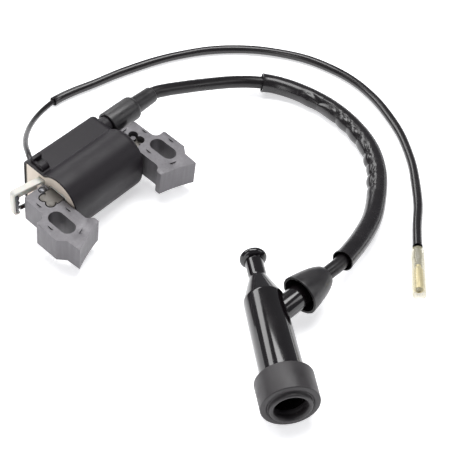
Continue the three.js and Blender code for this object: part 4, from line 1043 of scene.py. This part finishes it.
class COIL_OT_cap(bpy.types.Operator):
    """Adds the plug cap: body with knob and branch, seal, boot and the metal inside"""

    bl_idname = "coil.cap"
    bl_label = "Plug cap"

    def execute(self, context):
        look = materials()
        along, out = cap_axis(CAP_ANGLE), cap_axis(BRANCH_ANGLE)
        fork = CAP_ORIGIN + along * BRANCH_STATION * MM
        turn = np.linspace(0.42, math.pi, 24)[:-1]
        knob = [(75.7 - 2.0 * math.cos(t), 5.65 * math.sin(t) ** 0.42) for t in turn]
        outline = [(5, 6.3), (5, 8.6), (52.8, 8.2), (64.4, 3.8), (73.9, 3.8)]
        hard = soften(outline, [0.1, 0.3, 0.55, 0.8, 0.3], 6)
        bore = [(46.4, 0), (46.4, 3.9), (21, 3.9), (21, 6.3)]
        body = turned([*bore, *hard, *knob, (77.7, 0)], CAP_ORIGIN, along, segments=96)
        branch_outline = soften([(0, 3.4), (0, 5.0), (27, 4.9), (27, 3.4)], 0.35, 5, closed=True)
        branch = turned(branch_outline, fork, out, segments=64)
        piece(
            "cap_moulding", [(body, False), (branch, True)], look["phenolic"], "plug_cap", "black_phenolic",
            ["cap_body"], sharp=32,
        )
        self.seam(look, fork, out)
        self.seal(look, along)
        self.boot(look, fork, out)
        for name, finish in (
            ("plug_socket", "brass"), ("snap_ring", "steel"), ("suppressor_resistor", "ceramic"),
            ("contact_spring", "steel"), ("lead_screw", "brass"),
        ):
            repaint(name, look[finish])
        return {"FINISHED"}

    def seam(self, look, fork, out):
        """The mould's parting line: a low half-round bead along both sides of the branch."""
        _, side, _ = frames(np.array([fork, fork + out]))
        for number, sign in enumerate((-1, 1)):
            start = fork + out * 7 * MM + side[0] * sign * 4.93 * MM
            path = start + out * np.linspace(0, 18.5, 12)[:, None] * MM
            piece(
                f"parting_line_{number + 1}", [(rod(path, 0.12 * MM), False)], look["phenolic"], "plug_cap",
                "black_phenolic",
            )

    def seal(self, look, along):
        """The seal's profile: a flat face, a proud rounded lip round the mouth and faint rings inside the bore."""
        profile = [
            (13.4, 8.9), (13.4, 11.45), (1.5, 11.3), (1.3, 9.2), (1.75, 8.7), (1.5, 8.35), (0.2, 8.1), (-0.1, 7.6),
            (0.0, 6.9), (0.6, 6.45), (1.8, 6.3), (2.6, 6.5), (3.6, 6.25), (4.7, 6.35), (4.7, 8.9),
        ]
        softness = [0.2, 0.3, 0.45, 0.5, 0.25, 0.3, 0.4, 0.4, 0.4, 0.4, 0.4, 0.4, 0.5, 0.2, 0.2]
        grid = turned(soften(profile, softness, 6, closed=True), CAP_ORIGIN, along, segments=96)
        piece("plug_seal", [(grid, True)], look["seal"], "plug_cap", "black_rubber", ["cap_seal"], sharp=50)

    def boot(self, look, fork, out):
        """A cone whose mouth edge is slightly ragged, narrowing to a short grip on the lead."""
        profile = [
            (17.5, 7.5), (17.5, 8.55), (21.5, 7.95), (27.0, 6.75), (30.6, 5.45), (32.0, 4.7), (32.6, 4.2),
            (32.6, 3.27), (29.2, 3.27), (27.3, 5.4), (23.0, 6.7),
        ]
        softness = [0.2, 0.35, 2, 2, 1.2, 0.5, 0.25, 0.1, 0.2, 0.8, 1.2]

        def ragged(station, angle):
            """Two sines round the rim, fading within half a millimetre of it."""
            edge = np.exp(-((station - 17.6) / 0.5) ** 2)
            return edge * (0.05 * np.sin(7 * angle + 1) + 0.04 * np.sin(17 * angle))

        grid = turned(soften(profile, softness, 5, closed=True), fork, out, segments=96, ripple=ragged)
        piece("lead_boot", [(grid, True)], look["rubber"], "plug_cap", "black_rubber", ["cap_boot"], sharp=50)


class COIL_OT_connector(bpy.types.Operator):
    """Adds the bullet connector on the stop wire and its clear sleeve"""

    bl_idname = "coil.connector"
    bl_label = "Bullet connector"

    def execute(self, context):
        look = materials()
        along = cap_axis(CONNECTOR_ANGLE)

        def pinched(station, angle):
            """A squeeze into an oval where the metal is crimped: a cosine of twice the angle under a bell."""
            return -0.28 * np.exp(-((station - 3.6) / 1.6) ** 2) * np.cos(2 * angle) * (np.abs(station) < 7)

        profile = [
            (0.3, 0), (0.3, 1.25), (2.4, 1.3), (2.8, 0.95), (3.3, 1.2), (6.2, 1.25), (6.8, 1.2), (7.6, 1.95),
            (18.6, 1.98), (18.6, 1.6), (8.6, 1.6), (8.6, 0),
        ]
        soft = soften(profile, [0.1, 0.2, 0.3, 0.3, 0.3, 0.3, 0.4, 0.5, 0.15, 0.15, 0.1, 0.1], 5)
        grid = turned(soft, CONNECTOR_ORIGIN, along, segments=48, ripple=pinched)
        piece("bullet_barrel", [(grid, False)], look["brass"], "coil_unit", "brass", ["bullet_socket"])
        folded = [(-3.1, 1.3), (-3.1, 1.85), (1.2, 1.85), (2.0, 1.5), (5.6, 1.55), (5.6, 1.3)]
        crimp = turned(soften(folded, 0.25, 4, closed=True), CONNECTOR_ORIGIN, along, segments=32)
        piece("insulation_crimp", [(crimp, True)], look["tin"], "coil_unit", "brass")
        wall = soften([(-3.4, 2.42), (-3.4, 2.84), (21.6, 2.84), (21.6, 2.42)], 0.12, 4, closed=True)
        tube = turned(wall, CONNECTOR_ORIGIN, along, segments=48)
        piece("clear_cover", [(tube, True)], look["clear"], "connector_sleeve", "clear_tube", ["connector_sleeve"])
        return {"FINISHED"}


class COIL_OT_inside(bpy.types.Operator):
    """Gives the windings, the igniter and the terminal inside the housing their finishes"""

    bl_idname = "coil.inside"
    bl_label = "Inner pieces"

    def execute(self, context):
        look = materials()
        for name, finish in (
            ("primary_winding", "copper"), ("secondary_winding", "copper"), ("secondary_bobbin", "nylon"),
            ("igniter_board", "board"), ("power_transistor", "component"), ("drive_resistor", "ceramic"),
            ("ht_terminal", "brass"),
        ):
            repaint(name, look[finish])
        return {"FINISHED"}


class COIL_OT_cords(bpy.types.Operator):
    """Passes each lead's path, radius, end, stiffness and carried pieces to a step that does nothing with them"""

    bl_idname = "coil.cords"
    bl_label = "Cord lengths"

    def execute(self, context):
        leads = context.scene.coil_leads
        self.state(
            "high_tension_lead", smooth_route(LEAD_ROUTE, LEAD_POINTS), leads.lead_radius, "plug", "stiff",
            [
                "loose_lead_sleeve", "outlet_collar", "cap_moulding", "plug_seal", "lead_boot",
                "plug_socket", "snap_ring", "suppressor_resistor", "contact_spring", "lead_screw",
            ],
        )
        self.state(
            "stop_lead", smooth_route(WIRE_ROUTE, WIRE_POINTS), leads.wire_radius, "connector", "medium",
            ["stop_lead_sleeve", "bullet_barrel", "insulation_crimp", "clear_cover"],
        )
        return {"FINISHED"}

    def state(self, name, path, radius, end, stiffness, carried):
        """Takes one lead's path, radius, end, stiffness and carried pieces, and does nothing with them."""


OPERATORS = [
    COIL_OT_stage, COIL_OT_leads, COIL_OT_housing, COIL_OT_core, COIL_OT_guard, COIL_OT_collar, COIL_OT_cap,
    COIL_OT_connector, COIL_OT_inside, COIL_OT_cords,
]
SETTINGS = {
    "coil_stage": CoilStageSettings,
    "coil_housing": CoilHousingSettings,
    "coil_core": CoilCoreSettings,
    "coil_leads": CoilLeadSettings,
    "coil_cap": CoilCapSettings,
}


class COIL_PT_panel(bpy.types.Panel):
    """Lists the coil's pieces and their settings"""

    bl_idname = "COIL_PT_panel"
    bl_label = "Ignition coil"
    bl_space_type = "VIEW_3D"
    bl_region_type = "UI"
    bl_category = "Ignition coil"

    def draw(self, context):
        for name, kind in SETTINGS.items():
            box = self.layout.box()
            for key in kind.__annotations__:
                box.prop(getattr(context.scene, name), key)
        for operator in OPERATORS:
            self.layout.operator(operator.bl_idname)


def register():
    """Registers the settings, the operators and the panel."""
    for kind in (*SETTINGS.values(), *OPERATORS, COIL_PT_panel):
        bpy.utils.register_class(kind)
    for name, kind in SETTINGS.items():
        setattr(bpy.types.Scene, name, PointerProperty(type=kind))


def unregister():
    """Takes them out again, in reverse."""
    for name in SETTINGS:
        delattr(bpy.types.Scene, name)
    for kind in reversed((*SETTINGS.values(), *OPERATORS, COIL_PT_panel)):
        bpy.utils.unregister_class(kind)


def main():
    """Builds everything in order."""
    register()
    for operator in OPERATORS:
        section, name = operator.bl_idname.split(".")
        getattr(getattr(bpy.ops, section), name)()
    bpy.context.view_layer.update()


if __name__ == "__main__":
    main()
